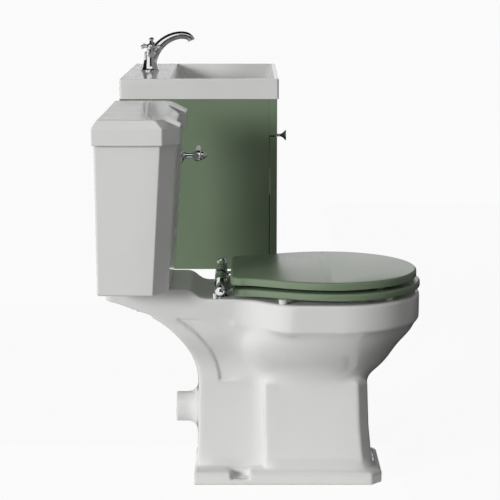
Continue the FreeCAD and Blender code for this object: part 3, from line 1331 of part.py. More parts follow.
def make_knob():
    out = V(0, -1, 0)
    base = pt(VANITY_X, KNOB_FROM_WALL, KNOB_Z)
    length = KNOB_LENGTH
    bore_end = V(KNOB_SCREW_R, 0, KNOB_SCREW_DEPTH)
    bore_start = V(KNOB_SCREW_R, 0, 0)
    bore_bottom = V(0, 0, KNOB_SCREW_DEPTH)
    foot = V(KNOB_FOOT_R, 0, 0)
    neck = V(KNOB_NECK_R, 0, 0.42 * length)
    edge = V(KNOB_R, 0, length - 2)
    face = V(KNOB_R - 0.8, 0, length)
    tip = V(0, 0, length)
    edges = [line(bore_bottom, bore_end), line(bore_end, bore_start), line(bore_start, foot),
             bezier(foot, V(KNOB_NECK_R + 0.6, 0, 2.5), V(KNOB_NECK_R, 0, 0.25 * length), neck),
             bezier(neck, V(KNOB_NECK_R, 0, 0.62 * length), V(0.62 * KNOB_R, 0, 0.8 * length), edge),
             line(edge, face), line(face, tip), line(tip, bore_bottom)]
    knob = positive(Part.Face(Part.Wire(edges)).revolve(V(0, 0, 0), V(0, 0, 1), 360))
    knob.Placement = FreeCAD.Placement(base, FreeCAD.Rotation(V(0, 0, 1), out))
    save("drawer_knob", knob)
    back = -FRONT_THICKNESS
    screw = turned([(0, back - 2.5), (2 * KNOB_SCREW_R, back - 2.5), (2 * KNOB_SCREW_R, back),
                    (KNOB_SCREW_R, back), (KNOB_SCREW_R, KNOB_SCREW_DEPTH), (0, KNOB_SCREW_DEPTH)], base, out)
    save("knob_screw", screw)


# Basin, waste and trap

def round_rect(x0, x1, f0, f1, radius, z):
    """Rounded rectangle as a closed wire of lines and arcs."""
    bend = radius * (1 - math.sqrt(0.5))
    edges = []
    corners = ((x1, f1, -1, -1), (x0, f1, 1, -1), (x0, f0, 1, 1), (x1, f0, -1, 1))
    for index, (x, f, dx, df) in enumerate(corners):
        along = pt(x, f + df * radius, z)
        across = pt(x + dx * radius, f, z)
        start, end = (along, across) if index % 2 == 0 else (across, along)
        edges.append(arc(start, pt(x + dx * bend, f + df * bend, z), end))
        nx, nf, ndx, ndf = corners[(index + 1) % 4]
        nxt = pt(nx + ndx * radius, nf, z) if index % 2 == 0 else pt(nx, nf + ndf * radius, z)
        edges.append(line(end, nxt))
    return Part.Wire(edges)


def basin_bowl(grow, floor):
    """Sloping-sided bowl down to a floor level; grow thickens it for the outside."""
    x0 = BASIN_OFFSET + BASIN_RIM
    x1 = BASIN_OFFSET + BASIN_WIDTH - BASIN_RIM
    front = BOWL_FRONT_OUTSIDE - BASIN_SHELL
    upper = round_rect(x0, x1, BASIN_LEDGE, BOWL_FRONT_RIM, BOWL_CORNER, BASIN_TOP)
    lower = round_rect(x0 + BOWL_SIDE_SLOPE - grow, x1 - BOWL_SIDE_SLOPE + grow,
                       BASIN_LEDGE + BOWL_BACK_SLOPE - grow, front + grow, BOWL_CORNER + grow, floor)
    return positive(Part.makeLoft([lower, upper], True, True))


def make_basin():
    x0 = BASIN_OFFSET
    x1 = BASIN_OFFSET + BASIN_WIDTH
    under = BASIN_TOP - BASIN_EDGE
    plan = Part.Face(round_rect(x0, x1, 0, BASIN_DEPTH, BASIN_CORNER, under))
    slab = positive(plan.extrude(V(0, 0, BASIN_EDGE)))
    slab = slab.makeFillet(BASIN_CORNER / 2, edges_at(slab, at_height(BASIN_TOP)))
    inner = round_rect(x0 + BASIN_RIM, x1 - BASIN_RIM, BASIN_RIM, BOWL_FRONT_RIM, BASIN_CORNER, under - 1)
    pocket = positive(Part.Face(inner).extrude(V(0, 0, BASIN_EDGE - BASIN_SHELL + 1)))
    bowl = basin_bowl(BASIN_SHELL, BOWL_UNDER)
    outside = fuse(slab, bowl).cut(pocket.cut(bowl))
    waste_hole = post(VANITY_X, WASTE_FROM_WALL, BOWL_UNDER - 1, BASIN_TOP, WASTE_R + HOLE_CLEARANCE)
    tap_hole = post(VANITY_X, TAP_FROM_WALL, under - 1, BASIN_TOP + 1, TAP_HOLE_R)
    save("basin", outside.cut([basin_bowl(0, BOWL_FLOOR), waste_hole, tap_hole]))


def make_waste():
    x = VANITY_X
    f = WASTE_FROM_WALL
    floor = BOWL_FLOOR
    flange_top = floor + WASTE_FLANGE_HEIGHT
    bore = WASTE_R - 2.5
    body = upright_turn([(bore, WASTE_BOTTOM), (WASTE_R, WASTE_BOTTOM), (WASTE_R, floor),
                         (WASTE_FLANGE_R, floor), (WASTE_FLANGE_R - 1, flange_top - 0.5),
                         (bore + 2, flange_top), (bore, floor)], x, f)
    low = floor - WASTE_BRIDGE_DROP
    high = low + WASTE_BRIDGE_HEIGHT
    bridge = box(x - bore, x + bore, f - PLUG_STEM_R, f + PLUG_STEM_R, low, high)
    bridge = fuse(bridge, post(x, f, low, high, PLUG_STEM_R + 3)).common(post(x, f, low, high, bore + 0.5))
    stem_hole = post(x, f, low - 1, high + 1, PLUG_STEM_R + RUNNING)
    save("waste_body", fuse(body, bridge).cut(stem_hole))
    nut = ring(x, f, BOWL_UNDER - WASTE_NUT_HEIGHT, BOWL_UNDER, WASTE_R + 9, WASTE_R + REST_GAP / 2)
    save("waste_nut", nut)
    seat = flange_top + REST_GAP
    stem_end = low - 12
    plug = upright_turn([(0, stem_end), (PLUG_STEM_R, stem_end), (PLUG_STEM_R, seat), (PLUG_R, seat),
                         (PLUG_R, seat + 2), (PLUG_R - 5, seat + 5), (PLUG_R / 2, seat + 7),
                         (0, seat + 8)], x, f)
    save("waste_plug", plug)


def bottle_levels():
    """Bottom, top and outlet level of the bottle trap."""
    top = WASTE_BOTTOM + BOTTLE_NUT_HEIGHT
    return top - BOTTLE_HEIGHT, top, top - BOTTLE_OUTLET_DROP


def make_trap():
    x = VANITY_X
    f = WASTE_FROM_WALL
    bottom, top, outlet = bottle_levels()
    inner = BOTTLE_R - BOTTLE_WALL
    sleeve = WASTE_R + REST_GAP / 2
    nut_r = WASTE_R + 9
    neck = top - BOTTLE_NUT_HEIGHT
    body = upright_turn([(0, bottom), (BOTTLE_R - 5, bottom), (BOTTLE_R, bottom + 5), (BOTTLE_R, neck - 10),
                         (BOTTLE_R - 3, neck - 4), (WASTE_R + 5, neck), (nut_r, neck + 2), (nut_r, top),
                         (sleeve, top), (sleeve, neck - 2), (inner, neck - 12), (inner, bottom + 8),
                         (0, bottom + 6)], x, f)
    side = f - BOTTLE_R
    boss_end = side - TRAP_BOSS_LENGTH
    boss = reach(x, outlet, boss_end, side + 2, TRAP_PIPE_R + TRAP_BOSS_WALL)
    boss = boss.cut(post(x, f, bottom, top, inner))
    pipe_end = side - TRAP_SOCKET_STEP
    push_r = TRAP_PIPE_R - REST_GAP
    bore = TRAP_PIPE_R - TRAP_PIPE_WALL
    socket = reach(x, outlet, boss_end - 1, pipe_end, push_r)
    way = reach(x, outlet, pipe_end - 1, f, bore)
    save("bottle_trap", fuse(body, boss).cut([socket, way]))
    seat = pipe_end - TRAP_FROM_WALL
    free = boss_end - HOLE_CLEARANCE - TRAP_FROM_WALL
    pipe = turned([(bore, 0), (TRAP_PIPE_R, 0), (TRAP_PIPE_R, free), (push_r, free), (push_r, seat),
                   (bore, seat)], pt(x, TRAP_FROM_WALL, outlet), V(0, -1, 0))
    save("trap_outlet", pipe)


# Tap

def spout_sections():
    """Circles along the spout's rise, arch and turned-down tip."""
    wires = []
    for share, rise, radius, pitch in SPOUT_CURVE + ((1.0, SPOUT_TIP_RISE, SPOUT_TIP_R, SPOUT_TIP_PITCH),):
        turn = math.radians(pitch)
        direction = V(0, -math.cos(turn), math.sin(turn))
        centre = pt(VANITY_X, TAP_FROM_WALL + share * SPOUT_REACH, BASIN_TOP + rise * SPOUT_RISE)
        wires.append(Part.Wire([Part.makeCircle(radius, centre, direction)]))
    return wires


def spout_tip():
    turn = math.radians(SPOUT_TIP_PITCH)
    tip = pt(VANITY_X, TAP_FROM_WALL + SPOUT_REACH, BASIN_TOP + SPOUT_TIP_RISE * SPOUT_RISE)
    return tip, V(0, -math.cos(turn), math.sin(turn))


def bonnet_frame(side):
    """Foot and direction of a handle's valve: out to the side and up."""
    tilt = math.radians(BONNET_TILT)
    return (pt(VANITY_X, TAP_FROM_WALL + 4, BASIN_TOP + TAP_BODY_HEIGHT - 6),
            V(side * math.cos(tilt), 0, math.sin(tilt)))


def make_tap():
    x = VANITY_X
    f = TAP_FROM_WALL
    top = TAP_BODY_HEIGHT
    body = turned([(0, -TAP_SHANK_DROP), (TAP_SHANK_R, -TAP_SHANK_DROP), (TAP_SHANK_R, 0), (TAP_BASE_R, 0),
                   (TAP_BASE_R, 3), (TAP_BASE_R - 2, 5), (TAP_BODY_TOP_R + 4, 0.25 * top),
                   (TAP_BODY_TOP_R + 1, 0.55 * top), (TAP_BODY_TOP_R, top), (TAP_BODY_TOP_R - 4, top + 4),
                   (0, top + 6)],
                  pt(x, f, BASIN_TOP), V(0, 0, 1))
    parts = [positive(Part.makeLoft(spout_sections(), True, False)), bonnet(-1), bonnet(1)]
    tip, down = spout_tip()
    screen_r = SPOUT_TIP_R - 1.5
    cuts = [rod(tip.sub(down * 5), tip.add(down), screen_r + REST_GAP / 2)]
    shank_end = BASIN_TOP - TAP_SHANK_DROP
    for side in (-1, 1):
        inlet = x + side * TAP_INLET_SPACING / 2
        cuts.append(post(inlet, f, shank_end - 1, shank_end + TAP_INLET_DEPTH, TAP_INLET_R))
    save("tap_body", fuse(body, *parts).cut(cuts))
    aerator = turned([(4, -5), (screen_r, -5), (screen_r, 0), (SPOUT_TIP_R, 0), (SPOUT_TIP_R, 3), (4, 3)],
                     tip, down)
    save("tap_aerator", aerator)
    under = BASIN_TOP - BASIN_SHELL
    nut = hexagon(x, f, under - 10, under, TAP_HOLE_R + 9)
    save("tap_backnut", nut.cut(post(x, f, under - 11, under + 1, TAP_SHANK_R + REST_GAP / 2)))
    for name, side in (("left", -1), ("right", 1)):
        save("tap_handle_" + name, cross_handle(side))


def bonnet(side):
    """Valve housing that leans out of the tap's body, with its spindle."""
    foot, along = bonnet_frame(side)
    collar = BONNET_R + 2
    end = BONNET_LENGTH + SPINDLE_LENGTH
    return turned([(0, 6), (collar, 6), (collar, 18), (BONNET_R, 21), (BONNET_R - 1, BONNET_LENGTH),
                   (SPINDLE_R, BONNET_LENGTH), (SPINDLE_R, end), (0, end)], foot, along)


def cross_handle(side):
    """Hub with four budded arms and a domed cap, on a valve's spindle."""
    foot, along = bonnet_frame(side)
    start = BONNET_LENGTH + MOVING_GAP
    middle = start + HANDLE_HUB_LENGTH * 0.55
    end = start + HANDLE_HUB_LENGTH
    socket = SPINDLE_R + RUNNING
    socket_end = BONNET_LENGTH + SPINDLE_LENGTH + 2 * MOVING_GAP
    root = HANDLE_HUB_R - 3
    hub = turned([(socket, start), (HANDLE_HUB_R - 1, start), (HANDLE_HUB_R, start + 4),
                  (HANDLE_HUB_R, end - 3), (root, end), (root - 0.5, end + 3), (0, end + 5),
                  (0, socket_end), (socket, socket_end)], foot, along)
    arms = []
    centre = foot.add(along * middle)
    level = V(0, 1, 0)
    upright_arm = along.cross(level)
    slim = HANDLE_ARM_R
    for direction in (level, level * -1, upright_arm, upright_arm * -1):
        arms.append(turned([(0, root), (slim + 0.8, root), (slim, HANDLE_HUB_R + 3), (slim, HANDLE_ARM - 8),
                            (HANDLE_BUD_R, HANDLE_ARM - 5), (HANDLE_BUD_R, HANDLE_ARM - 2), (2.5, HANDLE_ARM),
                            (0, HANDLE_ARM + 1)], centre, direction))
    return fuse(hub, *arms)


make_pan()
make_cistern_tank()
make_cistern_lid()
make_couplings()
make_flush_valve()
make_lever()
make_fill_valve()
make_seat_ring()
make_seat_lid()
make_hinge()
make_buffers()
make_cabinet()
make_runners()
make_drawer()
make_knob()
make_basin()
make_waste()
make_trap()
make_tap()
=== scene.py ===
"""Dresses the toilet and vanity set: glazed ware, painted wood, chrome, small fittings and a studio."""

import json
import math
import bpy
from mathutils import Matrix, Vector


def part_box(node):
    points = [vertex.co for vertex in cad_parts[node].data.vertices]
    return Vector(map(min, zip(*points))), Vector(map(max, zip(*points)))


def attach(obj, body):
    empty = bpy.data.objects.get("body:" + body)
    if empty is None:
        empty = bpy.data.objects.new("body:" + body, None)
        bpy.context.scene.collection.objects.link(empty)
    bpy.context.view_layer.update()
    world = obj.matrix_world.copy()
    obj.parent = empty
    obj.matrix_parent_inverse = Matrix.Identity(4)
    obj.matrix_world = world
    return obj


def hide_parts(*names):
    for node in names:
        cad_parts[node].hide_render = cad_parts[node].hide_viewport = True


bl_info = {
    "name": "Toilet and vanity set",
    "version": (1, 0, 0),
    "blender": (4, 5, 0),
    "location": "View3D > Sidebar > Bathroom set",
    "description": "Dresses the toilet and the wall-hung vanity and lights them as in the photograph",
    "category": "Object",
}

import bmesh
import bpy
import numpy as np
from bpy.props import FloatProperty, FloatVectorProperty, IntProperty, PointerProperty
from mathutils import Vector

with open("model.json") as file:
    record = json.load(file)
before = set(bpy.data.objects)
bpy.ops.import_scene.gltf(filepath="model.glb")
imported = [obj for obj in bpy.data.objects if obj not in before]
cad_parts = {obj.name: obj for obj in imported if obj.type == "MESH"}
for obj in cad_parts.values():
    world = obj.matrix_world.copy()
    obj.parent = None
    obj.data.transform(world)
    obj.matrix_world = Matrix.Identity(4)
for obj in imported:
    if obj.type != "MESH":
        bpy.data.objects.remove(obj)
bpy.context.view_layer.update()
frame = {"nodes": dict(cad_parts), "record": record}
SLOTS = {part["node"]: part["material_slot"] for part in frame["record"]["subparts"]}
BODIES = {node: body for body, nodes in frame["record"]["behaviour"]["bodies"].items() for node in nodes}


# Sizes and colours that a user would change

class SetFinishes(bpy.types.PropertyGroup):
    """Colours and surface detail of the set's finishes"""

    glaze: FloatVectorProperty(
        name="Glaze", description="Colour of the white glaze", subtype="COLOR", size=4,
        default=(0.77, 0.77, 0.755, 1.0), min=0.0, max=1.0)
    biscuit: FloatVectorProperty(
        name="Biscuit", description="Colour of the bare fired clay under the foot", subtype="COLOR", size=4,
        default=(0.55, 0.50, 0.43, 1.0), min=0.0, max=1.0)
    porcelain: FloatVectorProperty(
        name="Porcelain", description="Colour of the lever's grip", subtype="COLOR", size=4,
        default=(0.84, 0.83, 0.80, 1.0), min=0.0, max=1.0)
    paint: FloatVectorProperty(
        name="Paint", description="Colour of the green paint", subtype="COLOR", size=4,
        default=(0.185, 0.25, 0.16, 1.0), min=0.0, max=1.0)
    chrome: FloatVectorProperty(
        name="Chrome", description="Colour of the plated metal", subtype="COLOR", size=4,
        default=(0.80, 0.81, 0.82, 1.0), min=0.0, max=1.0)
    glaze_ripple: FloatProperty(
        name="Glaze ripple", description="Width of the waves in the glaze",
        subtype="DISTANCE", unit="LENGTH", default=0.03, min=0.001)
    paint_stipple: FloatProperty(
        name="Paint stipple", description="Width of the marks that the spray left in the paint",
        subtype="DISTANCE", unit="LENGTH", default=0.0012, min=0.0001)


class SetShapes(bpy.types.PropertyGroup):
    """Softness of the edges and sizes of the small fittings"""

    pan_voxel: FloatProperty(
        name="Pan grid", description="Grid that the pan's skin is drawn over",
        subtype="DISTANCE", unit="LENGTH", default=0.0032, min=0.001)
    pan_rounds: IntProperty(
        name="Pan fillets", description="Rounds of filling in the pan's inner corners", default=70, min=0)
    pan_share: FloatProperty(
        name="Pan share", description="Share of the pan's faces that is kept", subtype="FACTOR",
        default=0.55, min=0.05, max=1.0)
    ware_edge: FloatProperty(
        name="Ware edge", description="Softening of the glazed edges",
        subtype="DISTANCE", unit="LENGTH", default=0.0022, min=0.0)
    board_edge: FloatProperty(
        name="Board edge", description="Softening of the painted edges",
        subtype="DISTANCE", unit="LENGTH", default=0.0012, min=0.0)
    sharp: FloatProperty(
        name="Sharp edge", description="Turn from which an edge is drawn sharp",
        subtype="ANGLE", unit="ROTATION", default=math.radians(34), min=0.0)


class SetStage(bpy.types.PropertyGroup):
    """Camera, lamp and studio"""

    eye: FloatVectorProperty(
        name="Eye", description="Place of the camera", subtype="TRANSLATION", unit="LENGTH", size=3,
        default=(-3.4648, -0.0217, 1.1261))
    pitch: FloatProperty(
        name="Pitch", description="How far the camera looks down", subtype="ANGLE", unit="ROTATION",
        default=0.178)
    lens: FloatProperty(
        name="Lens", description="Focal length on a 36 mm sensor", unit="CAMERA", default=115.7, min=10.0)
    key_from: FloatVectorProperty(
        name="Key from", description="Direction that the main light comes from",
        subtype="DIRECTION", size=3, default=(-1.0, 1.0, 0.3))
    key_level: FloatProperty(
        name="Key level", description="Strength of the main light", default=2.2, min=0.0)
    key_spread: FloatProperty(
        name="Key spread", description="Width of the main light as the set sees it", subtype="ANGLE",
        unit="ROTATION", default=math.radians(17), min=0.0)
    ambient: FloatProperty(
        name="Ambient", description="Level of the studio's soft light", default=0.4, min=0.0)
    floor_light: FloatProperty(
        name="Floor light", description="Share of the floor's own white", subtype="FACTOR",
        default=0.94, min=0.0, max=1.0)


# Node building

WHITE = (1.0, 1.0, 1.0, 1.0)

# Sockets of a mix node that mixes colours
MIX_SHARE = 0
MIX_FIRST = 6
MIX_SECOND = 7
MIX_RESULT = 2


def add(tree, kind, inputs=None, **settings):
    """A node of one kind, with its settings, values and incoming links."""
    node = tree.nodes.new(kind)
    for name, value in settings.items():
        setattr(node, name, value)
    for name, value in (inputs or {}).items():
        socket = node.inputs[name]
        if isinstance(value, bpy.types.NodeSocket):
            tree.links.new(value, socket)
        else:
            socket.default_value = value
    return node


def blend(tree, share, first, second):
    """A colour between two colours."""
    mixed = add(tree, "ShaderNodeMix", {MIX_SHARE: share, MIX_FIRST: first, MIX_SECOND: second},
                data_type="RGBA")
    return mixed.outputs[MIX_RESULT]


def effect(name, inputs, outputs):
    """An empty shader group with named sockets, and its two end nodes."""
    tree = bpy.data.node_groups.new(name, "ShaderNodeTree")
    for label, kind, value in inputs:
        socket = tree.interface.new_socket(name=label, in_out="INPUT", socket_type=kind)
        socket.default_value = value
    for label, kind in outputs:
        tree.interface.new_socket(name=label, in_out="OUTPUT", socket_type=kind)
    return tree, tree.nodes.new("NodeGroupInput").outputs, tree.nodes.new("NodeGroupOutput").inputs


def object_noise(tree, size, detail, stretch=(1.0, 1.0, 1.0)):
    """Noise on the piece's own coordinates, with features of one size in metres."""
    place = add(tree, "ShaderNodeTexCoord")
    spread = add(tree, "ShaderNodeMapping", {"Vector": place.outputs["Object"], "Scale": stretch})
    scale = add(tree, "ShaderNodeMath", {0: 1.0, 1: size}, operation="DIVIDE")
    return add(tree, "ShaderNodeTexNoise",
               {"Vector": spread.outputs[0], "Scale": scale.outputs[0], "Detail": detail})


def mottle_effect():
    """Slow change of a colour's lightness over a surface."""
    if "mottle" in bpy.data.node_groups:
        return bpy.data.node_groups["mottle"]
    tree, given, result = effect("mottle", [("Color", "NodeSocketColor", (0.8, 0.8, 0.8, 1.0)),
                                            ("Size", "NodeSocketFloat", 0.1),
                                            ("Amount", "NodeSocketFloat", 0.05)],
                                 [("Color", "NodeSocketColor")])
    noise = object_noise(tree, given["Size"], detail=4.0)
    low = add(tree, "ShaderNodeMath", {0: 1.0, 1: given["Amount"]}, operation="SUBTRACT")
    high = add(tree, "ShaderNodeMath", {0: 1.0, 1: given["Amount"]}, operation="ADD")
    value = add(tree, "ShaderNodeMapRange",
                {"Value": noise.outputs["Fac"], "From Min": 0.3, "From Max": 0.7,
                 "To Min": low.outputs[0], "To Max": high.outputs[0]})
    tint = add(tree, "ShaderNodeHueSaturation", {"Color": given["Color"], "Value": value.outputs[0]})
    tree.links.new(tint.outputs[0], result["Color"])
    return tree


def smudge_effect():
    """Roughness that drifts between two levels, as on handled or wiped surfaces."""
    if "smudge" in bpy.data.node_groups:
        return bpy.data.node_groups["smudge"]
    tree, given, result = effect("smudge", [("Smooth", "NodeSocketFloat", 0.1),
                                            ("Rough", "NodeSocketFloat", 0.2),
                                            ("Size", "NodeSocketFloat", 0.05)],
                                 [("Roughness", "NodeSocketFloat")])
    noise = object_noise(tree, given["Size"], detail=5.0)
    level = add(tree, "ShaderNodeMapRange",
                {"Value": noise.outputs["Fac"], "From Min": 0.35, "From Max": 0.68,
                 "To Min": given["Smooth"], "To Max": given["Rough"]})
    tree.links.new(level.outputs[0], result["Roughness"])
    return tree


def relief_effect():
    """Fine height over a surface, such as stipple, moulding texture or ripples."""
    if "relief" in bpy.data.node_groups:
        return bpy.data.node_groups["relief"]
    tree, given, result = effect("relief", [("Size", "NodeSocketFloat", 0.01),
                                            ("Detail", "NodeSocketFloat", 2.0)],
                                 [("Height", "NodeSocketFloat")])
    noise = object_noise(tree, given["Size"], given["Detail"])
    tree.links.new(noise.outputs["Fac"], result["Height"])
    return tree


def grain_effect():
    """Long wood fibres along one direction, as a colour and a height."""
    if "grain" in bpy.data.node_groups:
        return bpy.data.node_groups["grain"]
    tree, given, result = effect("grain", [("Light", "NodeSocketColor", (0.6, 0.5, 0.35, 1.0)),
                                           ("Dark", "NodeSocketColor", (0.4, 0.3, 0.2, 1.0)),
                                           ("Size", "NodeSocketFloat", 0.01)],
                                 [("Color", "NodeSocketColor"), ("Height", "NodeSocketFloat")])
    fibre = object_noise(tree, given["Size"], detail=6.0, stretch=(1.0, 0.06, 1.0))
    ring = object_noise(tree, given["Size"], detail=1.0, stretch=(0.12, 0.02, 0.3))
    both = add(tree, "ShaderNodeMath", {0: fibre.outputs["Fac"], 1: ring.outputs["Fac"]},
               operation="MULTIPLY")
    share = add(tree, "ShaderNodeMapRange", {"Value": both.outputs[0], "From Min": 0.15, "From Max": 0.4})
    tint = blend(tree, share.outputs[0], given["Dark"], given["Light"])
    tree.links.new(tint, result["Color"])
    tree.links.new(fibre.outputs["Fac"], result["Height"])
    return tree


# Materials

# Heights between which the pan's foot changes from bare clay to glaze
BARE_BELOW = 0.0006
GLAZED_ABOVE = 0.002


def surface(name):
    """A new material, its nodes and its shader."""
    made = bpy.data.materials.new(name)
    made.use_nodes = True
    return made, made.node_tree, made.node_tree.nodes["Principled BSDF"]


def place_effect(tree, group, **values):
    """The outputs of a shader group that is given its values."""
    return add(tree, "ShaderNodeGroup", values, node_tree=group).outputs


def mottled(tree, colour, size, amount):
    """A colour that is slowly lighter and darker."""
    return place_effect(tree, mottle_effect(), Color=colour, Size=size, Amount=amount)["Color"]


def coloured(tree, shader, colour, size, amount):
    """Gives a shader a mottled colour."""
    tree.links.new(mottled(tree, colour, size, amount), shader.inputs["Base Color"])


def roughened(tree, shader, smooth, rough, size):
    """Gives a shader a drifting roughness."""
    level = place_effect(tree, smudge_effect(), Smooth=smooth, Rough=rough, Size=size)
    tree.links.new(level["Roughness"], shader.inputs["Roughness"])


def bumped(tree, shader, height, distance, strength):
    """Gives a shader a fine relief."""
    bump = add(tree, "ShaderNodeBump", {"Height": height, "Distance": distance, "Strength": strength})
    tree.links.new(bump.outputs[0], shader.inputs["Normal"])


def relief(tree, size, detail):
    """Height of a fine relief with features of one size."""
    return place_effect(tree, relief_effect(), Size=size, Detail=detail)["Height"]


def glaze(finishes):
    """White glaze with slow ripples; the foot's underside is bare biscuit."""
    made, tree, shader = surface("white_glaze")
    tint = mottled(tree, finishes.glaze, size=0.14, amount=0.018)
    place = add(tree, "ShaderNodeTexCoord")
    axes = add(tree, "ShaderNodeSeparateXYZ", {0: place.outputs["Object"]})
    bare = add(tree, "ShaderNodeMapRange",
               {"Value": axes.outputs["Z"], "From Min": BARE_BELOW, "From Max": GLAZED_ABOVE,
                "To Min": 1.0, "To Max": 0.0})
    tree.links.new(blend(tree, bare.outputs[0], tint, finishes.biscuit), shader.inputs["Base Color"])
    roughened(tree, shader, smooth=0.10, rough=0.17, size=0.09)
    shader.inputs["Coat Weight"].default_value = 0.08
    shader.inputs["Coat Roughness"].default_value = 0.04
    bumped(tree, shader, relief(tree, finishes.glaze_ripple, detail=1.0), distance=0.0006, strength=0.35)
    return made


def porcelain(finishes):
    """Warm white glaze of the lever's grip."""
    made, tree, shader = surface("porcelain")
    coloured(tree, shader, finishes.porcelain, size=0.02, amount=0.02)
    roughened(tree, shader, smooth=0.07, rough=0.13, size=0.02)
    shader.inputs["Coat Weight"].default_value = 0.5
    bumped(tree, shader, relief(tree, size=0.008, detail=1.0), distance=0.0002, strength=0.3)
    return made


def green_paint(finishes):
    """Satin paint with a fine sprayed stipple."""
    made, tree, shader = surface("green_paint")
    coloured(tree, shader, finishes.paint, size=0.22, amount=0.035)
    roughened(tree, shader, smooth=0.205, rough=0.235, size=0.15)
    bumped(tree, shader, relief(tree, finishes.paint_stipple, detail=3.0), distance=0.00002, strength=0.05)
    return made


def chrome(finishes):
    """Polished plating with faint wipe marks."""
    made, tree, shader = surface("chrome")
    coloured(tree, shader, finishes.chrome, size=0.03, amount=0.02)
    roughened(tree, shader, smooth=0.045, rough=0.10, size=0.02)
    shader.inputs["Metallic"].default_value = 1.0
    bumped(tree, shader, relief(tree, size=0.006, detail=2.0), distance=0.00004, strength=0.3)
    return made


def moulded(name, colour, smooth=0.38, rough=0.5):
    """Moulded plastic or rubber with a fine die texture."""
    made, tree, shader = surface(name)
    coloured(tree, shader, colour, size=0.03, amount=0.04)
    roughened(tree, shader, smooth, rough, size=0.02)
    bumped(tree, shader, relief(tree, size=0.0008, detail=3.0), distance=0.00008, strength=0.4)
    return made


def worked_metal(name, colour, smooth, rough):
    """Plain metal with a drawn or plated surface."""
    made, tree, shader = surface(name)
    coloured(tree, shader, colour, size=0.012, amount=0.08)
    roughened(tree, shader, smooth, rough, size=0.006)
    shader.inputs["Metallic"].default_value = 1.0
    bumped(tree, shader, relief(tree, size=0.0015, detail=4.0), distance=0.00005, strength=0.5)
    return made


def pale_board():
    """Clear-lacquered drawer wood."""
    made, tree, shader = surface("pale_board")
    fibres = place_effect(tree, grain_effect(), Light=(0.62, 0.49, 0.33, 1.0), Dark=(0.47, 0.34, 0.20, 1.0),
                          Size=0.012)
    tree.links.new(fibres["Color"], shader.inputs["Base Color"])
    roughened(tree, shader, smooth=0.38, rough=0.52, size=0.03)
    bumped(tree, shader, fibres["Height"], distance=0.0002, strength=0.3)
    return made


def material(slot):
    """The finish of one of the record's material slots, made at its first use."""
    key = "finish_" + slot
    made = bpy.context.scene.get(key)
    if made is None:
        finishes = bpy.context.scene.set_finishes
        makers = {
            "glazed_white": lambda: glaze(finishes),
            "porcelain_white": lambda: porcelain(finishes),
            "green_paint": lambda: green_paint(finishes),
            "chrome": lambda: chrome(finishes),
            "white_plastic": lambda: moulded("white_plastic", (0.78, 0.78, 0.75, 1.0)),
            "grey_plastic": lambda: moulded("grey_plastic", (0.30, 0.31, 0.32, 1.0)),
            "black_rubber": lambda: moulded("black_rubber", (0.03, 0.03, 0.032, 1.0),
                                            smooth=0.55, rough=0.7),
            "clear_rubber": lambda: moulded("clear_rubber", (0.74, 0.74, 0.70, 1.0),
                                            smooth=0.3, rough=0.42),
            "zinc_steel": lambda: worked_metal("zinc_steel", (0.60, 0.62, 0.65, 1.0),
                                               smooth=0.26, rough=0.42),
            "brass": lambda: worked_metal("brass", (0.72, 0.52, 0.24, 1.0),
                                          smooth=0.22, rough=0.36),
            "pale_board": pale_board,
        }
        made = makers[slot]()
        bpy.context.scene[key] = made
    return made


# Pieces made from the frame's solids

# Points nearer than this become one, in the frame's meshes and after softening
MERGE_GAP = 0.000002
WELD_GAP = 0.00001

# Turns: faces that are taken as one flat face, and edges that get a round
FLAT_TURN = math.radians(0.4)
ROUND_TURN = math.radians(32)
ROUND_STEPS = 3

# Upward part of a face's normal under which the face looks down
DOWNWARD = -0.5


def plain_copy(node):
    """A copy of a node's mesh with its loose triangles merged, as a new piece."""
    work = bmesh.new()
    work.from_mesh(frame["nodes"][node].data)
    bmesh.ops.remove_doubles(work, verts=work.verts, dist=MERGE_GAP)
    mesh = bpy.data.meshes.new(node + "_skin")
    work.to_mesh(mesh)
    work.free()
    if "custom_normal" in mesh.attributes:
        mesh.attributes.remove(mesh.attributes["custom_normal"])
    mesh.materials.clear()
    piece = bpy.data.objects.new(node + "_skin", mesh)
    bpy.context.scene.collection.objects.link(piece)
    return piece


def bake(piece):
    """Puts what the piece's modifiers make into its own plain mesh."""
    bpy.context.view_layer.update()
    graph = bpy.context.evaluated_depsgraph_get()
    mesh = bpy.data.meshes.new_from_object(piece.evaluated_get(graph))
    old = piece.data
    piece.modifiers.clear()
    piece.data = mesh
    mesh.name = piece.name
    bpy.data.meshes.remove(old)


def shade(mesh, turn):
    """Smooth faces, with the edges that turn further drawn sharp."""
    work = bmesh.new()
    work.from_mesh(mesh)
    for face in work.faces:
        face.smooth = True
    for edge in work.edges:
        edge.smooth = len(edge.link_faces) == 2 and edge.calc_face_angle(math.pi) < turn
    work.to_mesh(mesh)
    work.free()


def looks_down(part):
    """True where a point or an edge belongs to a face that looks down."""
    return any(face.normal.z < DOWNWARD for face in part.link_faces)


def has_room(edge, width):
    """True where the edges that meet this one are long enough for its round."""
    return all(near.calc_length() > 2 * width for end in edge.verts for near in end.link_edges)


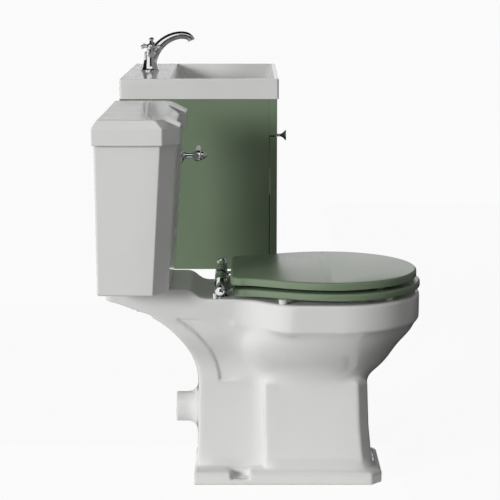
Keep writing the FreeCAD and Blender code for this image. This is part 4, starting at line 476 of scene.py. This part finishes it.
def soften(piece, width, below):
    """Makes flat faces whole and rounds the edges that have room for it, below as well or not."""
    work = bmesh.new()
    work.from_mesh(piece.data)
    work.normal_update()
    bmesh.ops.dissolve_limit(work, angle_limit=FLAT_TURN,
                             verts=[point for point in work.verts if below or not looks_down(point)],
                             edges=[edge for edge in work.edges if below or not looks_down(edge)])
    rounded = work.edges.layers.float.new("bevel_weight_edge")
    for edge in work.edges:
        turns = edge.calc_face_angle(0.0) > ROUND_TURN
        edge[rounded] = turns and has_room(edge, width) and (below or not looks_down(edge))
    work.to_mesh(piece.data)
    work.free()
    bevel = piece.modifiers.new("soft edges", "BEVEL")
    bevel.width = width
    bevel.segments = ROUND_STEPS
    bevel.limit_method = "WEIGHT"
    bevel.use_clamp_overlap = False
    weld = piece.modifiers.new("joined points", "WELD")
    weld.merge_threshold = WELD_GAP
    piece.modifiers.new("whole triangles", "TRIANGULATE")
    bake(piece)


def even_normals(piece):
    """Normals weighted by face size, so flat faces stay flat beside their rounds."""
    weigh = piece.modifiers.new("even normals", "WEIGHTED_NORMAL")
    weigh.keep_sharp = True
    bake(piece)


def put_on(piece, node):
    """Finishes a piece that stands for a node: the finish of the node's slot, and the node's body."""
    slot = SLOTS[node]
    piece.data.materials.clear()
    piece.data.materials.append(material(slot))
    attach(piece, BODIES[node])
    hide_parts(node)


def dress(nodes, width=0.0, below=True):
    """Dresses nodes with their finish and, where a width is given, soft edges, below as well or not."""
    shapes = bpy.context.scene.set_shapes
    for node in nodes:
        piece = plain_copy(node)
        if width:
            soften(piece, width, below)
        shade(piece.data, shapes.sharp)
        if width:
            even_normals(piece)
        put_on(piece, node)


def fill_hollows(mesh, rounds, share):
    """Lets soft fillets grow in inner corners and leaves outer edges as they are."""
    count = len(mesh.vertices)
    points = np.empty(count * 3)
    normals = np.empty(count * 3)
    ends = np.empty(len(mesh.edges) * 2, dtype=np.int64)
    mesh.vertices.foreach_get("co", points)
    mesh.edges.foreach_get("vertices", ends)
    points = points.reshape(-1, 3)
    first, second = ends.reshape(-1, 2).T
    valence = np.bincount(ends, minlength=count).clip(1)
    for _ in range(rounds):
        mesh.vertex_normals.foreach_get("vector", normals)
        around = np.stack([np.bincount(first, points[second, axis], count)
                           + np.bincount(second, points[first, axis], count) for axis in range(3)], 1)
        outward = normals.reshape(-1, 3)
        lift = ((around / valence[:, None] - points) * outward).sum(1)
        points += (lift.clip(0) * share)[:, None] * outward
        mesh.vertices.foreach_set("co", points.ravel())
        mesh.update()


def away_from(mesh, spots):
    """How freely each point may move: none near the spots, all of it further off."""
    points = np.empty(len(mesh.vertices) * 3)
    mesh.vertices.foreach_get("co", points)
    free = np.ones(len(mesh.vertices))
    for centre, radius in spots:
        gap = np.linalg.norm(points.reshape(-1, 3) - np.array(centre), axis=1) / radius
        free *= (gap * 2 - 1).clip(0, 1)
    return free


def middle(node):
    """Middle of a node's box."""
    low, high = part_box(node)
    return [(low[axis] + high[axis]) / 2 for axis in range(3)]


# Repeated small parts grown by geometry nodes

# Shares: a thread's depth of its pitch, a screw slot's width and reach of the head's radius
THREAD_DEPTH = 0.4
SLOT_WIDTH = 0.3
SLOT_REACH = 1.3


def grower(name, inputs):
    """An empty geometry group with named inputs, and its two end nodes."""
    tree = bpy.data.node_groups.new(name, "GeometryNodeTree")
    tree.interface.new_socket(name="Places", in_out="INPUT", socket_type="NodeSocketGeometry")
    for label, kind in inputs:
        tree.interface.new_socket(name=label, in_out="INPUT", socket_type=kind)
    tree.interface.new_socket(name="Parts", in_out="OUTPUT", socket_type="NodeSocketGeometry")
    return tree, tree.nodes.new("NodeGroupInput").outputs, tree.nodes.new("NodeGroupOutput").inputs


def at_places(tree, given, result, part):
    """Puts one part at every place, as real faces in the given finish."""
    copies = add(tree, "GeometryNodeInstanceOnPoints", {"Points": given["Places"], "Instance": part})
    real = add(tree, "GeometryNodeRealizeInstances", {0: copies.outputs[0]})
    done = add(tree, "GeometryNodeSetMaterial", {"Geometry": real.outputs[0], "Material": given["Finish"]})
    tree.links.new(done.outputs[0], result["Parts"])


def thread_grower():
    """Screw thread that winds up from every place."""
    if "thread" in bpy.data.node_groups:
        return bpy.data.node_groups["thread"]
    floats = [(label, "NodeSocketFloat") for label in ("Radius", "Pitch", "Length", "Depth")]
    tree, given, result = grower("thread", floats + [("Finish", "NodeSocketMaterial")])
    turns = add(tree, "ShaderNodeMath", {0: given["Length"], 1: given["Pitch"]}, operation="DIVIDE")
    path = add(tree, "GeometryNodeCurveSpiral",
               {"Resolution": 32, "Rotations": turns.outputs[0], "Height": given["Length"],
                "Start Radius": given["Radius"], "End Radius": given["Radius"]})
    ridge = add(tree, "GeometryNodeCurvePrimitiveCircle", {"Resolution": 4, "Radius": given["Depth"]})
    wound = add(tree, "GeometryNodeCurveToMesh",
                {"Curve": path.outputs[0], "Profile Curve": ridge.outputs[0], "Fill Caps": True})
    at_places(tree, given, result, wound.outputs[0])
    return tree


def screw_grower():
    """Screw heads with a cross slot, facing down at every place."""
    if "screws" in bpy.data.node_groups:
        return bpy.data.node_groups["screws"]
    tree, given, result = grower("screws", [("Radius", "NodeSocketFloat"), ("Height", "NodeSocketFloat"),
                                            ("Finish", "NodeSocketMaterial")])
    head = add(tree, "GeometryNodeMeshCylinder", {"Vertices": 32, "Radius": given["Radius"],
                                                  "Depth": given["Height"]})
    drop = add(tree, "ShaderNodeMath", {0: given["Height"], 1: -0.5}, operation="MULTIPLY")
    end = add(tree, "ShaderNodeCombineXYZ", {"Z": drop.outputs[0]})
    narrow = add(tree, "ShaderNodeMath", {0: given["Radius"], 1: SLOT_WIDTH}, operation="MULTIPLY")
    wide = add(tree, "ShaderNodeMath", {0: given["Radius"], 1: SLOT_REACH}, operation="MULTIPLY")
    cut = [head.outputs["Mesh"]]
    for across, along in ((narrow, wide), (wide, narrow)):
        size = add(tree, "ShaderNodeCombineXYZ",
                   {"X": across.outputs[0], "Y": along.outputs[0], "Z": given["Height"]})
        bar = add(tree, "GeometryNodeMeshCube", {"Size": size.outputs[0]})
        low = add(tree, "GeometryNodeTransform",
                  {"Geometry": bar.outputs[0], "Translation": end.outputs[0]})
        slot = add(tree, "GeometryNodeMeshBoolean", {0: cut[-1], 1: low.outputs[0]}, operation="DIFFERENCE")
        cut.append(slot.outputs[0])
    at_places(tree, given, result, cut[-1])
    return tree


def stud_grower():
    """Round studs centred on every place."""
    if "studs" in bpy.data.node_groups:
        return bpy.data.node_groups["studs"]
    tree, given, result = grower("studs", [("Radius", "NodeSocketFloat"), ("Height", "NodeSocketFloat"),
                                           ("Finish", "NodeSocketMaterial")])
    stud = add(tree, "GeometryNodeMeshCylinder", {"Vertices": 32, "Radius": given["Radius"],
                                                  "Depth": given["Height"]})
    at_places(tree, given, result, stud.outputs["Mesh"])
    return tree


def grow(name, tree, places, node, **values):
    """A piece of parts at the places, in the node's finish and on the node's body."""
    mesh = bpy.data.meshes.new(name)
    mesh.from_pydata(places, [], [])
    piece = bpy.data.objects.new(name, mesh)
    bpy.context.scene.collection.objects.link(piece)
    made = piece.modifiers.new("parts", "NODES")
    made.node_group = tree
    values["Finish"] = material(SLOTS[node])
    for item in tree.interface.items_tree:
        if item.name in values:
            made[item.identifier] = values[item.name]
    bake(piece)
    shade(piece.data, bpy.context.scene.set_shapes.sharp)
    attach(piece, BODIES[node])


def thread_between(name, node, low, high, radius, pitch):
    """Thread round the middle of a node between two levels."""
    x, y, _ = middle(node)
    depth = pitch * THREAD_DEPTH
    grow(name, thread_grower(), [(x, y, low + depth)], node, Radius=radius, Pitch=pitch,
         Length=high - low - 2 * depth, Depth=depth)


# Nodes round which the pan keeps its form, with the reach round each
KEPT_NODES = (("couple_washer", 0.16), ("hinge_pillar_left", 0.05), ("hinge_pillar_right", 0.05))

# Places on both sides that keep theirs: the foot's fixing notch, then the sunk panel's curved border
KEPT_PLACES = (((0.09, 0.0, 0.01), 0.045), ((0.108, 0.124, 0.362), 0.05), ((0.098, 0.084, 0.33), 0.05),
               ((0.072, 0.056, 0.28), 0.05), ((0.062, 0.045, 0.235), 0.05))

# Rounds of smoothing over the pan's grid, and the turn from which its edges are drawn sharp
PAN_SMOOTHING = 3
PAN_SHARP = math.radians(60)


class SET_OT_pan(bpy.types.Operator):
    """Glazed pan with soft inner corners"""
    bl_idname = "bathroom_set.pan"
    bl_label = "Pan"

    def execute(self, context):
        shapes = context.scene.set_shapes
        piece = plain_copy("pan")
        remesh = piece.modifiers.new("skin", "REMESH")
        remesh.mode = "VOXEL"
        remesh.voxel_size = shapes.pan_voxel
        bake(piece)
        spots = [(middle(node), reach) for node, reach in KEPT_NODES]
        spots += [((side * x, y, z), reach) for side in (-1, 1) for (x, y, z), reach in KEPT_PLACES]
        fill_hollows(piece.data, shapes.pan_rounds, away_from(piece.data, spots))
        even = piece.modifiers.new("even", "SMOOTH")
        even.iterations = PAN_SMOOTHING
        thin = piece.modifiers.new("thin", "DECIMATE")
        thin.ratio = shapes.pan_share
        bake(piece)
        shade(piece.data, PAN_SHARP)
        put_on(piece, "pan")
        return {"FINISHED"}


class SET_OT_cistern(bpy.types.Operator):
    """Glazed cistern and the lid laid on it"""
    bl_idname = "bathroom_set.cistern"
    bl_label = "Cistern"

    def execute(self, context):
        dress(["cistern_tank", "cistern_lid"], context.scene.set_shapes.ware_edge)
        return {"FINISHED"}


class SET_OT_basin(bpy.types.Operator):
    """Glazed basin with its sloping bowl"""
    bl_idname = "bathroom_set.basin"
    bl_label = "Basin"

    def execute(self, context):
        dress(["basin"], context.scene.set_shapes.ware_edge, below=False)
        return {"FINISHED"}


class SET_OT_seat(bpy.types.Operator):
    """Painted seat and lid with their buffers"""
    bl_idname = "bathroom_set.seat"
    bl_label = "Seat"

    def execute(self, context):
        dress(["seat_ring", "seat_lid", "seat_buffers", "lid_buffers"])
        return {"FINISHED"}


class SET_OT_cabinet(bpy.types.Operator):
    """Painted cabinet, drawer and runners"""
    bl_idname = "bathroom_set.cabinet"
    bl_label = "Cabinet"

    def execute(self, context):
        boards = ["cabinet_side_left", "cabinet_side_right", "cabinet_bottom", "cabinet_hanging_rail",
                  "cabinet_low_rail", "cabinet_false_front", "drawer_front", "drawer_bottom", "drawer_back",
                  "drawer_side_left", "drawer_side_right"]
        dress(boards, context.scene.set_shapes.board_edge)
        dress(["runner_fixed_left", "runner_fixed_right", "runner_moving_left", "runner_moving_right",
               "drawer_knob", "knob_screw"])
        return {"FINISHED"}


# Thread on the hinge's pillars
HINGE_THREAD_RADIUS = 0.0038
HINGE_THREAD_PITCH = 0.00125

# Hinge leaves: thickness, half width, how far in from the free end the screws sit, and their heads
PLATE_THICKNESS = 0.0035
PLATE_HALF = 0.010
PLATE_SCREWS_FROM_END = (0.009, 0.030)
PLATE_SCREW_RADIUS = 0.0034
PLATE_SCREW_HEIGHT = 0.0014

# White studs on the shelf: distance from the middle, distance behind the hinge bar, radius, height and sink
STUD_OUT = 0.103
STUD_BEHIND = 0.011
STUD_RADIUS = 0.0046
STUD_HEIGHT = 0.0125
STUD_SINK = 0.0015


class SET_OT_hinge(bpy.types.Operator):
    """Chromed seat hinge with its plates, screws and nuts, and the studs beside it"""
    bl_idname = "bathroom_set.hinge"
    bl_label = "Seat hinge"

    def execute(self, context):
        dress(["hinge_bar", "hinge_end_caps", "hinge_pillar_left", "hinge_pillar_right", "hinge_wing_nuts",
               "seat_hinge_plates", "lid_hinge_plates"])
        nut_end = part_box("hinge_wing_nuts")[0][2]
        for side in ("left", "right"):
            node = "hinge_pillar_" + side
            thread_between(node + "_thread", node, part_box(node)[0][2], nut_end,
                           HINGE_THREAD_RADIUS, HINGE_THREAD_PITCH)
        for name, board in (("seat", "seat_ring"), ("lid", "seat_lid")):
            node = name + "_hinge_plates"
            low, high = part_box(node)
            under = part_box(board)[0][2] - PLATE_THICKNESS - PLATE_SCREW_HEIGHT / 2
            places = [(side * (high[0] - PLATE_HALF), low[1] + back, under)
                      for side in (-1, 1) for back in PLATE_SCREWS_FROM_END]
            grow(name + "_plate_screws", screw_grower(), places, node,
                 Radius=PLATE_SCREW_RADIUS, Height=PLATE_SCREW_HEIGHT)
        x, y, _ = middle("hinge_bar")
        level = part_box("seat_buffers")[0][2] + STUD_HEIGHT / 2 - STUD_SINK
        places = [(x + side * STUD_OUT, y + STUD_BEHIND, level) for side in (-1, 1)]
        grow("shelf_studs", stud_grower(), places, "pan", Radius=STUD_RADIUS, Height=STUD_HEIGHT)
        return {"FINISHED"}


class SET_OT_lever(bpy.types.Operator):
    """Flush lever with its white grip"""
    bl_idname = "bathroom_set.lever"
    bl_label = "Flush lever"

    def execute(self, context):
        dress(["lever_rose", "lever_locknut", "lever_spindle", "lever_handle", "lever_arm"])
        return {"FINISHED"}


# Thread on the tap's shank, and the plain length at both of its ends
TAP_THREAD_RADIUS = 0.0153
TAP_THREAD_PITCH = 0.0015
TAP_THREAD_DEPTH = 0.0006
TAP_THREAD_MARGIN = 0.001


class SET_OT_tap(bpy.types.Operator):
    """Mixer tap with two cross handles"""
    bl_idname = "bathroom_set.tap"
    bl_label = "Tap"

    def execute(self, context):
        dress(["tap_body", "tap_aerator", "tap_backnut", "tap_handle_left", "tap_handle_right"])
        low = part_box("tap_body")[0][2]
        x, y, _ = middle("tap_backnut")
        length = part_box("tap_backnut")[0][2] - low - 2 * TAP_THREAD_MARGIN
        grow("tap_shank_thread", thread_grower(), [(x, y, low + TAP_THREAD_MARGIN)], "tap_body",
             Radius=TAP_THREAD_RADIUS, Pitch=TAP_THREAD_PITCH, Length=length, Depth=TAP_THREAD_DEPTH)
        return {"FINISHED"}


class SET_OT_waste(bpy.types.Operator):
    """Basin waste and bottle trap"""
    bl_idname = "bathroom_set.waste"
    bl_label = "Waste and trap"

    def execute(self, context):
        dress(["waste_body", "waste_nut", "waste_plug", "bottle_trap", "trap_outlet"])
        return {"FINISHED"}


class SET_OT_works(bpy.types.Operator):
    """Flush and fill valves inside the cistern, and what joins it to the pan"""
    bl_idname = "bathroom_set.works"
    bl_label = "Cistern works"

    def execute(self, context):
        dress(["couple_washer", "couple_bolts", "couple_seals", "couple_wing_nuts", "flush_valve_body",
               "flush_valve_nut", "flush_plunger", "fill_valve", "fill_valve_nut", "fill_float"])
        return {"FINISHED"}


# Stage

# Floor: half its width, its level, and its tone where it lights the set and where it is seen
FLOOR_HALF = 300
FLOOR_LEVEL = -0.0004
FLOOR_LIGHTING_TONE = 0.66
FLOOR_SEEN_TONE = 0.9

CARD_ROUGHNESS = 0.9

# How far off the lamp's marker stands; its light is the same from any distance
KEY_DISTANCE = 3


def card(name, corners, made):
    """A flat stage sheet through four corners."""
    mesh = bpy.data.meshes.new(name)
    mesh.from_pydata(corners, [], [(0, 1, 2, 3)])
    sheet = bpy.data.objects.new(name, mesh)
    mesh.materials.append(made)
    bpy.context.scene.collection.objects.link(sheet)
    return sheet


def seen_directly(tree):
    """One for rays that show the background as it is, and nothing for rays that light the set."""
    path = add(tree, "ShaderNodeLightPath")
    shiny = add(tree, "ShaderNodeMath",
                {0: path.outputs["Is Glossy Ray"], 1: path.outputs["Is Transmission Ray"]},
                operation="MAXIMUM")
    return add(tree, "ShaderNodeMath", {0: path.outputs["Is Camera Ray"], 1: shiny.outputs[0]},
               operation="MAXIMUM").outputs[0]


def floor_material(share):
    """White floor that keeps a faint shadow and throws little light back."""
    made = bpy.data.materials.new("white_floor")
    made.use_nodes = True
    tree = made.node_tree
    tree.nodes.clear()
    seen = seen_directly(tree)
    tone = add(tree, "ShaderNodeMapRange",
               {"Value": seen, "To Min": FLOOR_LIGHTING_TONE, "To Max": FLOOR_SEEN_TONE})
    lit = add(tree, "ShaderNodeBsdfDiffuse", {"Color": tone.outputs[0]})
    own = add(tree, "ShaderNodeEmission", {"Color": WHITE, "Strength": 1.0})
    level = add(tree, "ShaderNodeMath", {0: seen, 1: share}, operation="MULTIPLY")
    mixed = add(tree, "ShaderNodeMixShader", {0: level.outputs[0], 1: lit.outputs[0], 2: own.outputs[0]})
    end = add(tree, "ShaderNodeOutputMaterial")
    tree.links.new(mixed.outputs[0], end.inputs["Surface"])
    return made


def card_material(name, tone):
    """Matt studio card of one grey."""
    made = bpy.data.materials.new(name)
    made.use_nodes = True
    shader = made.node_tree.nodes["Principled BSDF"]
    shader.inputs["Base Color"].default_value = (tone, tone, tone, 1.0)
    shader.inputs["Roughness"].default_value = CARD_ROUGHNESS
    return made


# Direction that the studio's soft light comes from
SOFT_LIGHT_FROM = (-0.6, 0.62, 0.5)

# Studio sheets: name, tone, whether they also light matt surfaces or only show in reflections, corners
SHEETS = (
    ("dark_card", 0.3, True,
     ((-2.5, -1.6, 0.0), (6.0, -1.6, 0.0), (6.0, -1.6, 3.0), (-2.5, -1.6, 3.0))),
    ("dark_mat", 0.06, True,
     ((-1.0, -0.36, 0.002), (-1.0, -1.6, 0.002), (4.0, -1.6, 0.002), (4.0, -0.36, 0.002))),
    ("back_mat", 0.05, True,
     ((0.2, -0.36, 0.002), (1.8, -0.36, 0.002), (1.8, 1.2, 0.002), (0.2, 1.2, 0.002))),
    ("dark_roof", 0.03, False,
     ((-1.2, -1.6, 3.0), (4.0, -1.6, 3.0), (4.0, 3.0, 3.0), (-1.2, 3.0, 3.0))),
    ("front_mat", 0.03, False,
     ((-5.0, -5.0, 0.002), (-0.9, -5.0, 0.002), (-0.9, 0.3, 0.002), (-5.0, 0.3, 0.002))),
    ("front_wall", 0.03, False,
     ((-5.0, -5.0, 0.0), (-5.0, 0.4, 0.0), (-5.0, 0.4, 4.0), (-5.0, -5.0, 4.0))),
    ("side_wall", 0.05, False,
     ((-0.6, 2.2, 0.9), (4.0, 2.2, 0.9), (4.0, 2.2, 3.0), (-0.6, 2.2, 3.0))),
    ("back_card", 1.0, False,
     ((3.0, 0.0, 0.6), (3.0, 0.0, 1.8), (3.0, 2.2, 1.8), (3.0, 2.2, 0.6))),
)


def studio_world(level):
    """White to look at; as light, it comes from above, between the camera's side and the wall's."""
    world = bpy.data.worlds.new("studio")
    bpy.context.scene.world = world
    world.use_nodes = True
    tree = world.node_tree
    tree.nodes.clear()
    place = add(tree, "ShaderNodeTexCoord")
    facing = add(tree, "ShaderNodeVectorMath", {0: place.outputs["Generated"], 1: SOFT_LIGHT_FROM},
                 operation="DOT_PRODUCT")
    share = add(tree, "ShaderNodeMapRange",
                {"Value": facing.outputs["Value"], "From Min": -0.2, "From Max": 0.9, "To Max": level})
    light = add(tree, "ShaderNodeBackground", {"Color": WHITE, "Strength": share.outputs[0]})
    white = add(tree, "ShaderNodeBackground", {"Color": WHITE, "Strength": 1.0})
    mixed = add(tree, "ShaderNodeMixShader",
                {0: seen_directly(tree), 1: light.outputs[0], 2: white.outputs[0]})
    end = add(tree, "ShaderNodeOutputWorld")
    tree.links.new(mixed.outputs[0], end.inputs["Surface"])


def key_lamp(stage):
    """Broad distant lamp, low and between the camera's side and the wall's, unseen in reflections."""
    data = bpy.data.lights.new("key", "SUN")
    data.energy = stage.key_level
    data.angle = stage.key_spread
    made = bpy.data.objects.new("key", data)
    made.visible_glossy = False
    made.location = Vector(stage.key_from) * KEY_DISTANCE
    made.rotation_euler = Vector(stage.key_from).to_track_quat("Z", "Y").to_euler()
    bpy.context.scene.collection.objects.link(made)


class SET_OT_stage(bpy.types.Operator):
    """Floor, studio sheets, lamp and camera"""
    bl_idname = "bathroom_set.stage"
    bl_label = "Stage"

    def execute(self, context):
        stage = context.scene.set_stage
        corners = [(x * FLOOR_HALF, y * FLOOR_HALF, FLOOR_LEVEL)
                   for x, y in ((-1, -1), (1, -1), (1, 1), (-1, 1))]
        card("floor", corners, floor_material(stage.floor_light))
        for name, tone, lights, corners in SHEETS:
            sheet = card(name, corners, card_material(name, tone))
            sheet.visible_camera = False
            sheet.visible_shadow = False
            sheet.visible_diffuse = lights
        studio_world(stage.ambient)
        key_lamp(stage)
        data = bpy.data.cameras.new("photo_view")
        data.lens = stage.lens
        data.sensor_width = 36.0
        camera = bpy.data.objects.new("photo_view", data)
        camera.location = stage.eye
        camera.rotation_euler = (math.pi / 2 - stage.pitch, 0.0, -math.pi / 2)
        context.scene.collection.objects.link(camera)
        context.scene.camera = camera
        context.scene.view_settings.view_transform = "Standard"
        return {"FINISHED"}


OPERATORS = [SET_OT_pan, SET_OT_cistern, SET_OT_basin, SET_OT_seat, SET_OT_cabinet, SET_OT_hinge,
             SET_OT_lever, SET_OT_tap, SET_OT_waste, SET_OT_works, SET_OT_stage]


class SET_PT_panel(bpy.types.Panel):
    """Lists the steps that dress the set"""
    bl_idname = "SET_PT_panel"
    bl_label = "Toilet and vanity set"
    bl_space_type = "VIEW_3D"
    bl_region_type = "UI"
    bl_category = "Bathroom set"

    def draw(self, context):
        for group in (context.scene.set_finishes, context.scene.set_shapes, context.scene.set_stage):
            for name in group.__annotations__:
                self.layout.prop(group, name)
        for operator in OPERATORS:
            self.layout.operator(operator.bl_idname)


GROUPS = {"set_finishes": SetFinishes, "set_shapes": SetShapes, "set_stage": SetStage}
CLASSES = [*GROUPS.values(), *OPERATORS, SET_PT_panel]


def register():
    """Adds the steps, the panel and the settings."""
    for made in CLASSES:
        bpy.utils.register_class(made)
    for name, group in GROUPS.items():
        setattr(bpy.types.Scene, name, PointerProperty(type=group))


def unregister():
    """Takes them away again."""
    for name in GROUPS:
        delattr(bpy.types.Scene, name)
    for made in reversed(CLASSES):
        bpy.utils.unregister_class(made)


def main():
    """Dresses the set step by step."""
    register()
    for operator in OPERATORS:
        family, step = operator.bl_idname.split(".")
        getattr(getattr(bpy.ops, family), step)()


if __name__ == "__main__":
    main()
